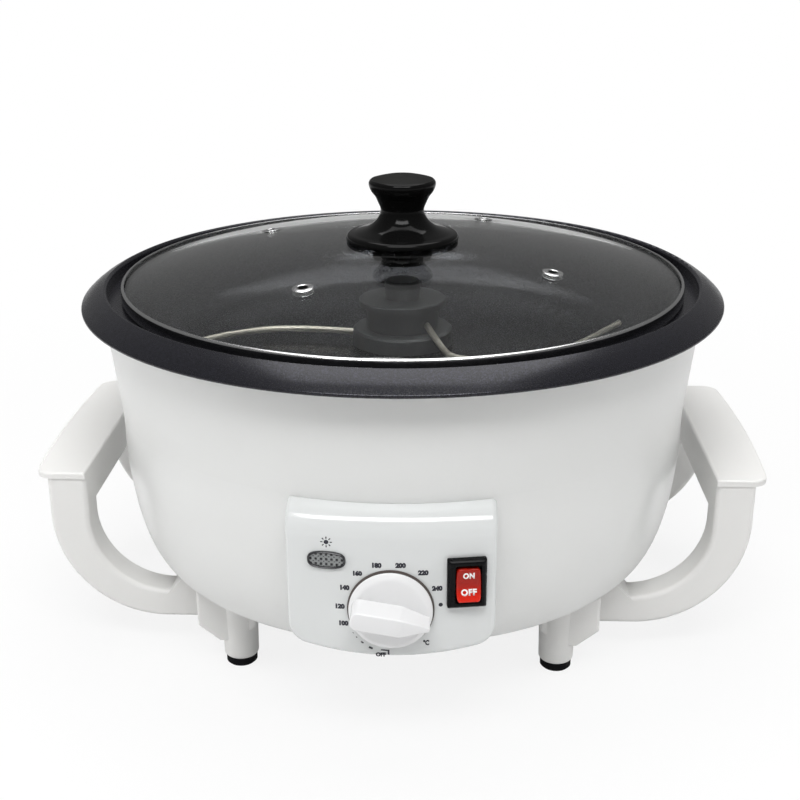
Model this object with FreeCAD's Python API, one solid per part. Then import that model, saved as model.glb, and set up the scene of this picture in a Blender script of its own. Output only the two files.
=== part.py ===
import FreeCAD, Part
import math
import os

from FreeCAD import Vector

# Home coffee bean roaster: a drawn steel bowl on four legs with a shallow stirred pan on top,
# a domed glass lid, a moulded handle on each side and a control housing at the front.
# Millimetres. +Z is up and the table is z = 0. The stirrer turns about the Z axis,
# the control housing faces -Y and the handles are at -X and +X.

# ---- levels above the table ----
LID_Z = 166.0            # top edge of the lid's steel band
BOWL_FLOOR_Z = 35.2      # underside of the bowl
SHOULDER_Z = 108.8       # where the bowl's slight taper ends and its curve begins

# ---- bowl (the outer shell) ----
BOWL_TOP_R = 138.0
BOWL_TAPER = 5.3         # radius lost between its top and its shoulder
BOWL_TURN_W = 20.3       # from the shoulder in to the flat underside
BOWL_CURVE_POWER = 0.87  # below 1 the curve is fuller than an ellipse
BOWL_SHEET = 1.2
BOWL_LIP_W = 8.0         # inward lip that the pan sits on
SERVICE_R = 58.0         # opening in the underside
WINDOW_GAP = 1.5         # around what passes through the bowl's wall

# ---- pan ----
PAN_SHEET = 1.8
PAN_DEPTH = 37.0         # from the lid band's top edge to the pan's floor
PAN_WALL_R = 28.5        # radius of the curve between floor and wall
PAN_LEDGE_W = 8.9        # ledge that carries the lid
PAN_SEAT_GAP = 0.1
RIM_OPEN_IN = 2.6        # recess's wall inside the bowl's top edge
RIM_CROWN_W = 1.6        # from the recess's wall to the crown
RIM_CROWN_DROP = 0.9     # crown below the lid band's top edge
RIM_W = 11.8             # from the recess's wall to the widest place
RIM_DROP = 8.4           # widest place below the lid band's top edge
RIM_ROLL_R = 0.9         # rolled edge of the skirt
RIM_RISE = 0.6           # of the skirt's middle above its chord
RIM_EDGE_W = 2.0         # width of the skirt's bottom edge
COLLAR_R = 10.4          # bore of the collar at the pan's centre
COLLAR_H = 9.5

# ---- lid ----
BAND_GAP = 6.0           # around the lid's band in its recess
BAND_H = 6.5
BAND_SHEET = 0.8
BAND_LIP_W = 3.2
LID_SEAT_GAP = 0.3
GLASS_T = 4.0
GLASS_RISE = 17.26       # dome height from its edge
GLASS_EDGE_GAP = 0.15
EYELET_RING_R = 77.4
EYELET_COUNT = 4
EYELET_FIRST = -120.5    # degrees
EYELET_R = 4.7
EYELET_BORE_R = 2.1
EYELET_BARREL_R = 2.9
EYELET_FLANGE = 0.7
FIT_GAP = 0.1            # fitted but not turning

# ---- lid knob ----
KNOB_BASE_R = 26.0
KNOB_BASE_T = 2.6
KNOB_NECK_R = 10.4
KNOB_CAP_R = 15.4
KNOB_H = 29.7            # from the top of the glass
KNOB_NECK_H = 12.6
KNOB_CAP_H = 25.5
KNOB_TURN_W = 1.9       # where its hollow waist turns into the round cap
KNOB_TURN_DROP = 4.8
FLARE_SAG = 0.33         # how hollow the flare is, 0.5 being straight
RISE_SAG = 0.3
COLLAR_NUT_R = 13.7
COLLAR_NUT_H = 9.6
LID_SCREW_R = 2.5
LID_SCREW_HEAD_R = 4.6
LID_SCREW_HEAD_H = 2.4
LID_SCREW_DEPTH = 14.0

# ---- stirrer and its drive ----
HUB_GAP = 0.8            # hub above the pan's floor
HUB_BASE_R = 23.5
HUB_BASE_H = 8.0
HUB_BODY_R = 17.0
HUB_BODY_H = 10.8
HUB_DISC_R = 20.5
HUB_DISC_H = 3.0
HUB_POST_R = 8.4
HUB_POST_H = 8.4
HUB_WALL = 3.0
WIRE_R = 1.5
WIRE_H = 4.6             # lower wires above the pan's floor
UPPER_WIRE_H = 13.0      # upper wire where it leaves the hub
WIRE_START = 14.0
WIRE_START_DEG = -30.0
WIRE_CORNER_DEG = -12.8
WIRE_END_DEG = 10.6
WIRE_BEND_R = 56.0
UPPER_WIRE_START_DEG = -40.0
UPPER_WIRE_CORNER_R = 50.0
UPPER_WIRE_CORNER_DEG = -65.0
UPPER_WIRE_CUT_L = 11.0  # how much nearer the middle it ends
UPPER_WIRE_END_DEG = -70.0
WIRE_TIP_GAP = 4.0       # from the long wires' tips to the pan's wall
WIRE_TIP_L = 19.0        # from their tips in to their bend
SHAFT_R = 4.0
SHAFT_FLAT = 1.0         # depth of the drive flat
RUN_GAP = 0.05
SHAFT_ENGAGE = 14.0      # length of shaft held in the hub
MOTOR_R = 25.0
MOTOR_H = 22.0
GEARBOX_H = 8.0
MOTOR_TOP_Z = 78.0
MOTOR_SHAFT_DEPTH = 14.0
MOTOR_EAR_X = 30.0
MOTOR_EAR_R = 5.0
BRIDGE_T = 2.0
BRIDGE_W = 56.0
BRIDGE_HALF_L = 66.0
BRIDGE_FOOT = 18.0

# ---- heater under the pan ----
HEATER_IN = 14.0         # inside the ring of tie rods
HEATER_R = 3.6
HEATER_GAP = 0.3
HEATER_OPEN_DEG = 34.0
HEATER_TAIL = 24.0
REFLECTOR_Z = 106.0
REFLECTOR_SHEET = 0.8
REFLECTOR_RIM_H = 8.0
REFLECTOR_GAP = 0.3
REFLECTOR_HOLE_R = 16.0
TIE_COUNT = 3
TIE_IN = 12.0            # inside the edge of the pan's floor
TIE_FIRST = 30.0
TIE_R = 2.5
TIE_NUT_R = 4.6
TIE_NUT_H = 3.4
SENSOR_R = 3.0
SENSOR_L = 40.0
SENSOR_Y = 46.0

# ---- legs ----
LEG_IN = 10.2            # inside the edge of the bowl's flat
LEG_DEG = 45.2
LEG_TOP_R = 8.4
LEG_END_R = 7.8
LEG_ROUND = 1.6
PAD_R = 7.0
PAD_H = 4.0
PAD_STEM_R = 3.0
PAD_STEM_H = 5.0
BLOCK_OUT_W = 18.4       # from the leg's middle to its shoulder block's outer face
BLOCK_IN_W = 8.0
BLOCK_DEPTH = 17.7
BLOCK_TOP_Z = 48.0       # cut back to the bowl's curve
BLOCK_CORNER_Z = 20.8
BLOCK_LOW_W = 8.6
BLOCK_LOW_Z = 12.9
BLOCK_ROUND = 1.5
ARM_GAP = 0.3            # shoulder block to handle arm

# ---- handles ----
ARM_TO_LEG = 11.5        # from each arm's outer face to the leg's middle
ARM_DEPTH = 16.0
GRIP_GAP = 2.9           # from the bowl's top edge out to the grip
GRIP_W = 17.6
GRIP_TOP_Z = 87.9
GRIP_DROP = 18.0
PLATE_T = 3.0
PLATE_END = 0.6          # past the arms at each end
PLATE_OVER = 5.4         # overhang of the top plate at its ends
PLATE_BULGE = 2.2
PLATE_CORNER_R = 8.0
ARM_LOW_Z = 15.0
ARM_T = 13.6
ARM_BEND_R = 50.5        # outer bend
ARM_IN_BEND_R = 35.0
ARM_PAD_IN = 12.4        # inside the edge of the bowl's flat
ARM_PAD_L = 16.0
ARM_ROUND = 2.2
GRIP_WALL = 2.4
GRIP_RIBS = 4
RIB_T = 2.0

# ---- screws ----
SCREW_R = 2.0
SCREW_HEAD_R = 3.8
SCREW_HEAD_H = 2.0
SCREW_GRIP = 9.0
HEAD_GAP = 0.15          # under a screw head on a curved wall
PILOT_GAP = 0.1
COVER_R = 68.0
COVER_SHEET = 1.2
COVER_SCREW_R = 63.0
COVER_SCREWS = 4
VENT_ROWS = 3
VENT_FIRST_R = 22.0
VENT_STEP_R = 12.0
VENT_W = 4.0
VENT_SPAN_DEG = 34.0
VENTS_PER_ROW = 6

# ---- control housing ----
FACE_PROUD = 4.5         # middle of the housing's face, out from the bowl's top edge
FACE_R = 197.0           # its curve in plan
FACE_HALF_W = 41.0
HOUSING_TOP_Z = 108.4
HOUSING_LOW_Z = 46.0
HOUSING_LOW_R = 161.0
HOUSING_CORNER_R = 9.0
SHOULDER_DROP = 12.5
SHOULDER_BACK = 10.5
HOUSING_WALL = 2.4
HOUSING_EDGE_R = 2.0
HOUSING_DEPTH = 52.5
BOSS_R = 3.8
BOSS_X = 28.0
BOSS_TOP_Z = 97.5
BOSS_LOW_Z = 60.5

# ---- temperature knob and thermostat ----
DIAL_Z = 67.7
DIAL_R = 17.4
DIAL_GAP = 0.5
DIAL_SKIRT_T = 1.2
DIAL_RIM_R = 14.9
DIAL_RIM_OUT = 5.0
DIAL_DISH = 1.4
DIAL_GRIP_OUT = 14.5
DIAL_GRIP_LOW_OUT = 9.0
DIAL_GRIP_W = 6.4
DIAL_GRIP_TOP_W = 4.4
DIAL_POINTER_DEG = 167.0
DIAL_SHAFT_R = 2.2
DIAL_SHAFT_OUT = 7.0
BUSHING_R = 4.9
STAT_W = 30.0
STAT_H = 28.0
STAT_D = 16.0
STAT_TAB_H = 6.0
STAT_TAB_W = 5.0
STAT_TAB_T = 0.8
STAT_SCREW_X = 10.4
STAT_SCREW_R = 1.5
STAT_SCREW_HEAD_R = 2.6
STAT_SCREW_HEAD_H = 1.2
DIAL_HUB_R = 5.2

# ---- switch ----
SWITCH_X = 29.8
SWITCH_Z = 79.2
BEZEL_W = 15.0
BEZEL_H = 21.0
BEZEL_OUT = 2.0
BEZEL_EDGE = 0.8
BARREL_W = 12.8
BARREL_H = 18.8
BARREL_D = 17.0
ROCKER_W = 9.8
ROCKER_GAP = 0.3
ROCKER_END_R = 7.8
ROCKER_PIVOT_IN = 1.0    # pivot behind the bezel's front
ROCKER_FLUSH = 0.3
ROCKER_TRAVEL = 16.0     # degrees
ROCKER_BACK = 3.0
ROCKER_PIN_R = 0.7
ROCKER_PIN_L = 0.9
POCKET_D = 7.6

# ---- indicator ----
LAMP_X = -24.8
LAMP_Z = 88.1
LENS_W = 15.2
LENS_H = 7.4
LENS_OUT = 1.3
LENS_FLANGE = 0.8
LENS_LIP = 0.7
LENS_IN = 5.0
BULB_R = 2.4
BULB_L = 12.0

# ---- mains entry and wiring ----
GLAND_Z = 72.0
GLAND_R = 7.6
GLAND_BORE_R = 3.6
GLAND_FLANGE_R = 10.5
GLAND_OUT = 3.0
GLAND_L = 20.0
GLAND_NUT_R = 11.0
GLAND_NUT_T = 4.0
TERMINAL_W = 32.0
TERMINAL_D = 18.0
TERMINAL_H = 16.0
TERMINAL_IN = 28.4       # inside the edge of the bowl's flat
TERMINAL_POLES = 3
TERMINAL_HOLE_R = 2.6

# ---- sizes that follow ----
Z_AXIS = Vector(0, 0, 1)
Y_AXIS = Vector(0, 1, 0)
X_AXIS = Vector(1, 0, 0)
ORIGIN = Vector(0, 0, 0)
FULL_TURN = 360.0
BOWL_SHOULDER_R = BOWL_TOP_R - BOWL_TAPER
BOWL_FLAT_R = BOWL_SHOULDER_R - BOWL_TURN_W
PAN_FLOOR_Z = LID_Z - PAN_DEPTH
PAN_UNDER_Z = PAN_FLOOR_Z - PAN_SHEET
LEDGE_Z = LID_Z - BAND_H - LID_SEAT_GAP
BOWL_TOP_Z = LEDGE_Z - PAN_SHEET - PAN_SEAT_GAP
BOWL_INNER_Z = BOWL_FLOOR_Z + BOWL_SHEET
RIM_OPEN_R = BOWL_TOP_R - RIM_OPEN_IN
RIM_R = RIM_OPEN_R + RIM_W
PAN_MOUTH_R = RIM_OPEN_R - PAN_LEDGE_W
PAN_FLOOR_R = PAN_MOUTH_R - PAN_WALL_R
BAND_R = RIM_OPEN_R - BAND_GAP
GLASS_R = BAND_R - BAND_SHEET - GLASS_EDGE_GAP
GLASS_EDGE_Z = LID_Z - BAND_H + BAND_SHEET + GLASS_EDGE_GAP + GLASS_T
GLASS_TOP_Z = GLASS_EDGE_Z + GLASS_RISE
DOME_R = (GLASS_R ** 2 + GLASS_RISE ** 2) / (2 * GLASS_RISE)
DOME_CENTRE_Z = GLASS_TOP_Z - DOME_R
HUB_Z = PAN_FLOOR_Z + HUB_GAP
HUB_DISC_Z = HUB_Z + HUB_BASE_H + HUB_BODY_H
HUB_POST_Z = HUB_DISC_Z + HUB_DISC_H
SHAFT_TOP_Z = HUB_POST_Z + HUB_POST_H - HUB_WALL
COLLAR_TOP_Z = PAN_FLOOR_Z + COLLAR_H
RIM_CROWN_R = RIM_OPEN_R + RIM_CROWN_W
RIM_TOP_Z = LID_Z - RIM_CROWN_DROP
WIRE_ROOM_R = PAN_FLOOR_R + math.sqrt(PAN_WALL_R ** 2 - (PAN_WALL_R - WIRE_H) ** 2)
WIRE_TIP_R = WIRE_ROOM_R - WIRE_R - WIRE_TIP_GAP
TIE_RING_R = PAN_FLOOR_R - TIE_IN
HEATER_LOOP_R = TIE_RING_R - HEATER_IN
LEG_X = (BOWL_FLAT_R - LEG_IN) * math.cos(math.radians(LEG_DEG))
LEG_Y = (BOWL_FLAT_R - LEG_IN) * math.sin(math.radians(LEG_DEG))
ARM_Y = LEG_Y - ARM_TO_LEG
ARM_PAD_X = BOWL_FLAT_R - ARM_PAD_IN
ARM_END_X = ARM_PAD_X - ARM_PAD_L
TERMINAL_Y = BOWL_FLAT_R - TERMINAL_IN
FACE_Y = -BOWL_TOP_R - FACE_PROUD
HOUSING_BACK_Y = FACE_Y + HOUSING_DEPTH
FACE_CENTRE_Y = FACE_Y + FACE_R
GRIP_IN_X = BOWL_TOP_R + GRIP_GAP
GRIP_OUT_X = GRIP_IN_X + GRIP_W
GRIP_LOW_Z = GRIP_TOP_Z - GRIP_DROP
PLATE_Z = GRIP_TOP_Z - PLATE_T
PLATE_HALF_L = ARM_Y + PLATE_END


def line(a, b):
    return Part.makeLine(Vector(a[0], 0, a[1]), Vector(b[0], 0, b[1]))


def arc(a, b, c):
    """Arc through three points of the XZ plane."""
    return Part.Arc(Vector(a[0], 0, a[1]), Vector(b[0], 0, b[1]), Vector(c[0], 0, c[1])).toShape()


def cap_arc(edge_r, edge_z, middle_z):
    """Arc from an edge to the Z axis, level where it meets the axis."""
    height = middle_z - edge_z
    radius = (edge_r ** 2 + height ** 2) / (2 * height)
    drop = radius - math.copysign(math.sqrt(radius ** 2 - edge_r ** 2 / 4), radius)
    return arc((edge_r, edge_z), (edge_r / 2, middle_z - drop), (0, middle_z))


def path(points):
    return [line(a, b) for a, b in zip(points, points[1:])]


def turned(edges):
    """Solid of revolution about Z of a closed outline in the XZ plane."""
    return Part.Face(Part.Wire(edges)).revolve(ORIGIN, Z_AXIS, FULL_TURN)


def turned_points(points):
    return turned(path(points + points[:1]))


def cylinder(radius, height, base=ORIGIN, axis=Z_AXIS):
    return Part.makeCylinder(radius, height, base, axis)


def box(x0, x1, y0, y1, z0, z1):
    return Part.makeBox(x1 - x0, y1 - y0, z1 - z0, Vector(x0, y0, z0))


def prism(points, y0, y1):
    """Outline in the XZ plane drawn out from y0 to y1."""
    return drawn(path(points + points[:1]), y0, y1)


def drawn(edges, y0, y1):
    face = Part.Face(Part.Wire(edges))
    face.translate(Vector(0, y0, 0))
    return face.extrude(Vector(0, y1 - y0, 0))


def joined(shapes):
    whole = shapes[0]
    for shape in shapes[1:]:
        whole = whole.fuse(shape)
    return whole.removeSplitter()


def cut(shape, tools):
    for tool in tools:
        shape = shape.cut(tool)
    return shape


def mirrored_x(shape):
    return shape.mirror(ORIGIN, X_AXIS)


def mirrored_y(shape):
    return shape.mirror(ORIGIN, Y_AXIS)


def polar(radius, degrees, z=0.0):
    angle = math.radians(degrees)
    return Vector(radius * math.cos(angle), radius * math.sin(angle), z)


def bowl_curve(inset):
    """The bowl's lower curve, a quarter of a superellipse, from the shoulder to the flat."""
    reach = BOWL_SHOULDER_R - BOWL_FLAT_R
    top_r = BOWL_SHOULDER_R - inset
    low_z = BOWL_FLOOR_Z + inset
    steps = 9
    points = []
    for step in range(steps + 1):
        angle = step / steps * math.pi / 2
        r = top_r - reach + reach * max(math.cos(angle), 0) ** BOWL_CURVE_POWER
        z = SHOULDER_Z + (low_z - SHOULDER_Z) * math.sin(angle) ** BOWL_CURVE_POWER
        points.append(Vector(r, 0, z))
    curve = Part.BSplineCurve()
    down = Vector(BOWL_SHOULDER_R - BOWL_TOP_R, 0, SHOULDER_Z - BOWL_TOP_Z)
    curve.interpolate(Points=points, InitialTangent=down, FinalTangent=Vector(-down.Length, 0, 0))
    return curve.toShape()


def bowl_side(inset, top_z):
    """Outline of the bowl from its top to the flat of its underside."""
    curve = bowl_curve(inset)
    start = (BOWL_TOP_R - inset, top_z)
    return [line(start, (BOWL_SHOULDER_R - inset, SHOULDER_Z)), curve]


def bowl_radius(z, inset=0.0):
    """Radius of the bowl's outside, or of the same form set in, at a level."""
    if z >= SHOULDER_Z:
        share = (z - SHOULDER_Z) / (BOWL_TOP_Z - SHOULDER_Z)
        return BOWL_SHOULDER_R + (BOWL_TOP_R - BOWL_SHOULDER_R) * share - inset
    level = line((0, z), (2 * BOWL_TOP_R, z))
    return bowl_curve(inset).distToShape(level)[1][0][0].x


def bowl_solid(inset):
    """The space inside the bowl's outer face, or inside its wall."""
    low_z = BOWL_FLOOR_Z + inset
    flat_r = BOWL_FLAT_R - inset
    side = bowl_side(inset, BOWL_TOP_Z)
    top = line((0, BOWL_TOP_Z), (BOWL_TOP_R - inset, BOWL_TOP_Z))
    return turned([top] + side + [line((flat_r, low_z), (0, low_z)), line((0, low_z), (0, BOWL_TOP_Z))])


def seat_form():
    """What stands against the bowl is cut back by this, the bowl's outside and a fitting gap."""
    return bowl_solid(-FIT_GAP)


def face_place(x, z, out=0.0):
    """Point on the housing's curved face, and its outward direction."""
    angle = math.asin(x / FACE_R)
    normal = Vector(math.sin(angle), -math.cos(angle), 0)
    point = Vector(0, FACE_CENTRE_Y, z) + normal * (FACE_R + out)
    return point, normal, math.degrees(angle)


def on_face(shape, x, z):
    """Move a shape modelled at the origin, facing -Y, to its place on the housing."""
    point, normal, angle = face_place(x, z)
    shape.rotate(ORIGIN, Z_AXIS, angle)
    shape.translate(point)
    return shape


def screw(place, axis, length, head_r=SCREW_HEAD_R, head_h=SCREW_HEAD_H, shank_r=SCREW_R):
    """Round head screw: place is under its head and axis is the way it is driven."""
    back = Vector(axis) * -head_h
    return joined([cylinder(head_r, head_h, place + back, axis), cylinder(shank_r, length, place, axis)])


def corners(x, y):
    return [(-x, -y), (x, -y), (-x, y), (x, y)]


def leg_screw_places():
    return [Vector(x, y, BOWL_INNER_Z) for x, y in corners(LEG_X, LEG_Y)]


def arm_screw_places():
    x = (ARM_END_X + ARM_PAD_X) / 2
    y = ARM_Y - ARM_DEPTH / 2
    return [Vector(px, py, BOWL_INNER_Z) for px, py in corners(x, y)]


def cover_screw_places():
    step = FULL_TURN / COVER_SCREWS
    return [polar(COVER_SCREW_R, step * (index + 0.5), BOWL_FLOOR_Z - COVER_SHEET)
            for index in range(COVER_SCREWS)]


def bridge_screw_places():
    x = BRIDGE_HALF_L + BRIDGE_FOOT / 2
    y = BRIDGE_W / 4
    return [Vector(px, py, BOWL_INNER_Z + BRIDGE_T) for px, py in corners(x, y)]


def wall_places():
    """Places on the bowl's inner wall behind the housing's bosses, each with its outward normal."""
    places = []
    for side in (-1, 1):
        for z in (BOSS_LOW_Z, BOSS_TOP_Z):
            r = bowl_radius(z, BOWL_SHEET)
            x = side * BOSS_X
            slope = (bowl_radius(z + 1, BOWL_SHEET) - bowl_radius(z - 1, BOWL_SHEET)) / 2
            normal = Vector(x / r, -math.sqrt(r ** 2 - x ** 2) / r, -slope).normalize()
            places.append((Vector(x, -math.sqrt(r ** 2 - x ** 2), z), normal))
    return places


def tie_places(z):
    return [polar(TIE_RING_R, TIE_FIRST + FULL_TURN / TIE_COUNT * index, z) for index in range(TIE_COUNT)]


# ---- bowl, cover and pan ----
def body_shell():
    shell = bowl_solid(0).cut(bowl_solid(BOWL_SHEET))
    lip = cylinder(BOWL_TOP_R - BOWL_SHEET / 2, BOWL_SHEET, Vector(0, 0, BOWL_TOP_Z - BOWL_SHEET))
    lip = lip.cut(cylinder(BOWL_TOP_R - BOWL_LIP_W, BOWL_SHEET, Vector(0, 0, BOWL_TOP_Z - BOWL_SHEET)))
    shell = joined([shell, lip.common(bowl_solid(0))])
    service = cylinder(SERVICE_R, 2 * BOWL_SHEET, Vector(0, 0, BOWL_FLOOR_Z - BOWL_SHEET / 2))
    stat_w = STAT_W / 2 + WINDOW_GAP
    stat_h = STAT_H / 2 + WINDOW_GAP
    windows = [box(-stat_w, stat_w, FACE_Y, HOUSING_BACK_Y, DIAL_Z - stat_h, DIAL_Z + stat_h),
               on_face(box(-BARREL_W / 2 - WINDOW_GAP, BARREL_W / 2 + WINDOW_GAP, 0, -HOUSING_BACK_Y / 2,
                           -BARREL_H / 2 - WINDOW_GAP, BARREL_H / 2 + WINDOW_GAP), SWITCH_X, SWITCH_Z),
               on_face(cylinder(BULB_R + WINDOW_GAP, -HOUSING_BACK_Y / 2, ORIGIN, Y_AXIS), LAMP_X, LAMP_Z)]
    gland = cylinder(GLAND_R + FIT_GAP, BOWL_TOP_R, Vector(0, 0, GLAND_Z), Y_AXIS)
    holes = [cylinder(SCREW_R + PILOT_GAP, 2 * BOWL_SHEET, place - Z_AXIS * 1.5 * BOWL_SHEET)
             for place in leg_screw_places() + arm_screw_places()]
    holes += [cylinder(SCREW_R + PILOT_GAP, COVER_SHEET + 2 * BOWL_SHEET, place)
              for place in cover_screw_places()]
    holes += [cylinder(SCREW_R + PILOT_GAP, BRIDGE_T + 2 * BOWL_SHEET,
                       place - Z_AXIS * (BRIDGE_T + 1.5 * BOWL_SHEET)) for place in bridge_screw_places()]
    holes += [cylinder(TIE_R + PILOT_GAP, 2 * BOWL_SHEET, place)
              for place in tie_places(BOWL_FLOOR_Z - BOWL_SHEET / 2)]
    holes += [cylinder(SCREW_R + PILOT_GAP, 4 * BOWL_SHEET, place - normal * BOWL_SHEET, normal)
              for place, normal in wall_places()]
    return cut(shell, [service, gland] + windows + holes)


def base_cover():
    low_z = BOWL_FLOOR_Z - COVER_SHEET
    cover = cylinder(COVER_R, COVER_SHEET, Vector(0, 0, low_z))
    tools = [cylinder(SCREW_R + PILOT_GAP, 3 * COVER_SHEET, place - Z_AXIS * COVER_SHEET)
             for place in cover_screw_places()]
    for row in range(VENT_ROWS):
        pitch_r = VENT_FIRST_R + row * VENT_STEP_R
        base = Vector(0, 0, low_z - COVER_SHEET / 2)
        ring = cylinder(pitch_r + VENT_W / 2, 2 * COVER_SHEET, base)
        ring = ring.cut(cylinder(pitch_r - VENT_W / 2, 2 * COVER_SHEET, base))
        for index in range(VENTS_PER_ROW):
            wedge = Part.makeCylinder(COVER_R, 2 * COVER_SHEET, base, Z_AXIS, VENT_SPAN_DEG)
            wedge.rotate(ORIGIN, Z_AXIS, FULL_TURN / VENTS_PER_ROW * index)
            tools.append(ring.common(wedge))
    return cut(cover, tools)


def skirt_points():
    """The rim's skirt from its crown to its rolled edge, each point with the one beneath it."""
    ease = math.sqrt(0.5)
    roll = Vector(RIM_R - RIM_ROLL_R, 0, LID_Z - RIM_DROP)
    crown = Vector(RIM_CROWN_R, 0, RIM_TOP_Z)
    out = roll + Vector(RIM_ROLL_R * ease, 0, RIM_ROLL_R * ease)
    chord = out - crown
    normal = Vector(-chord.z, 0, chord.x).normalize()
    middle = (crown + out) * 0.5 + normal * RIM_RISE
    bottom = roll - Z_AXIS * RIM_ROLL_R
    upper = [(point.x, point.z) for point in (crown, middle, out, roll + X_AXIS * RIM_ROLL_R, bottom)]
    under = middle - normal * PAN_SHEET
    lower = [(bottom.x - RIM_EDGE_W, bottom.z), (under.x, under.z),
             (RIM_OPEN_R + PAN_SHEET, RIM_TOP_Z - PAN_SHEET)]
    return upper, lower


def inner_pan():
    half = PAN_WALL_R * math.sqrt(0.5)
    wall_top_z = PAN_FLOOR_Z + PAN_WALL_R
    recess_r = RIM_OPEN_R + PAN_SHEET
    wall_r = PAN_MOUTH_R + PAN_SHEET
    under_r = PAN_WALL_R + PAN_SHEET
    under_half = under_r * math.sqrt(0.5)
    edge_z = RIM_TOP_Z - RIM_CROWN_W
    ease = RIM_CROWN_W * (1 - math.sqrt(0.5))
    (crown, middle, out, widest, bottom), lower = skirt_points()
    edges = path([(COLLAR_R, COLLAR_TOP_Z), (COLLAR_R + PAN_SHEET, COLLAR_TOP_Z),
                  (COLLAR_R + PAN_SHEET, PAN_FLOOR_Z), (PAN_FLOOR_R, PAN_FLOOR_Z)])
    edges.append(arc((PAN_FLOOR_R, PAN_FLOOR_Z), (PAN_FLOOR_R + half, wall_top_z - half),
                     (PAN_MOUTH_R, wall_top_z)))
    edges += path([(PAN_MOUTH_R, wall_top_z), (PAN_MOUTH_R, LEDGE_Z), (RIM_OPEN_R, LEDGE_Z),
                   (RIM_OPEN_R, edge_z)])
    edges += [arc((RIM_OPEN_R, edge_z), (RIM_OPEN_R + ease, RIM_TOP_Z - ease), crown),
              arc(crown, middle, out), arc(out, widest, bottom), line(bottom, lower[0]), arc(*lower)]
    edges += path([lower[-1], (recess_r, LEDGE_Z - PAN_SHEET), (wall_r, LEDGE_Z - PAN_SHEET),
                   (wall_r, wall_top_z)])
    edges.append(arc((wall_r, wall_top_z), (PAN_FLOOR_R + under_half, wall_top_z - under_half),
                     (PAN_FLOOR_R, PAN_UNDER_Z)))
    edges += path([(PAN_FLOOR_R, PAN_UNDER_Z), (COLLAR_R, PAN_UNDER_Z), (COLLAR_R, COLLAR_TOP_Z)])
    return turned(edges)


# ---- heater, reflector and ties ----
def heating_element():
    z = PAN_UNDER_Z - HEATER_GAP - HEATER_R
    sweep = FULL_TURN - HEATER_OPEN_DEG
    ring = Part.makeTorus(HEATER_LOOP_R, HEATER_R, Vector(0, 0, z), Z_AXIS, -180, 180, sweep)
    ring.rotate(ORIGIN, Z_AXIS, -90 + HEATER_OPEN_DEG / 2)
    pieces = [ring]
    for side in (-1, 1):
        end = polar(HEATER_LOOP_R, -90 + side * HEATER_OPEN_DEG / 2, z)
        pieces.append(Part.makeSphere(HEATER_R, end))
        pieces.append(cylinder(HEATER_R, HEATER_TAIL, end - Z_AXIS * HEATER_TAIL))
    return joined(pieces)


def heat_shield():
    wall_r = bowl_radius(REFLECTOR_Z, BOWL_SHEET) - REFLECTOR_GAP
    rim_r = bowl_radius(REFLECTOR_Z + REFLECTOR_RIM_H, BOWL_SHEET) - REFLECTOR_GAP
    outline = [(REFLECTOR_HOLE_R, REFLECTOR_Z), (wall_r, REFLECTOR_Z), (rim_r, REFLECTOR_Z + REFLECTOR_RIM_H),
               (rim_r - REFLECTOR_SHEET, REFLECTOR_Z + REFLECTOR_RIM_H),
               (wall_r - REFLECTOR_SHEET, REFLECTOR_Z + REFLECTOR_SHEET),
               (REFLECTOR_HOLE_R, REFLECTOR_Z + REFLECTOR_SHEET)]
    dish = turned_points(outline)
    tools = [cylinder(TIE_R + PILOT_GAP, 3 * REFLECTOR_SHEET, place)
             for place in tie_places(REFLECTOR_Z - REFLECTOR_SHEET)]
    for side in (-1, 1):
        place = polar(HEATER_LOOP_R, -90 + side * HEATER_OPEN_DEG / 2, REFLECTOR_Z - REFLECTOR_SHEET)
        tools.append(cylinder(HEATER_R + REFLECTOR_GAP, 3 * REFLECTOR_SHEET, place))
    return cut(dish, tools)


def tie_rods():
    low_z = BOWL_FLOOR_Z - TIE_NUT_H - TIE_R
    return Part.makeCompound([cylinder(TIE_R, PAN_UNDER_Z - low_z, place) for place in tie_places(low_z)])


def tie_nuts():
    nuts = []
    for place in tie_places(BOWL_FLOOR_Z - TIE_NUT_H):
        hexagon = Part.makePolygon([place + polar(TIE_NUT_R, 60 * k) for k in range(7)])
        nut = Part.Face(hexagon).extrude(Vector(0, 0, TIE_NUT_H))
        nuts.append(nut.cut(cylinder(TIE_R + RUN_GAP, TIE_NUT_H, place)))
    return Part.makeCompound(nuts)


def sensor_bulb():
    z = PAN_UNDER_Z - HEATER_GAP - SENSOR_R
    body = cylinder(SENSOR_R, SENSOR_L, Vector(-SENSOR_L / 2, SENSOR_Y, z), X_AXIS)
    ends = [Part.makeSphere(SENSOR_R, Vector(side * SENSOR_L / 2, SENSOR_Y, z)) for side in (-1, 1)]
    return joined([body] + ends)


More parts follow.
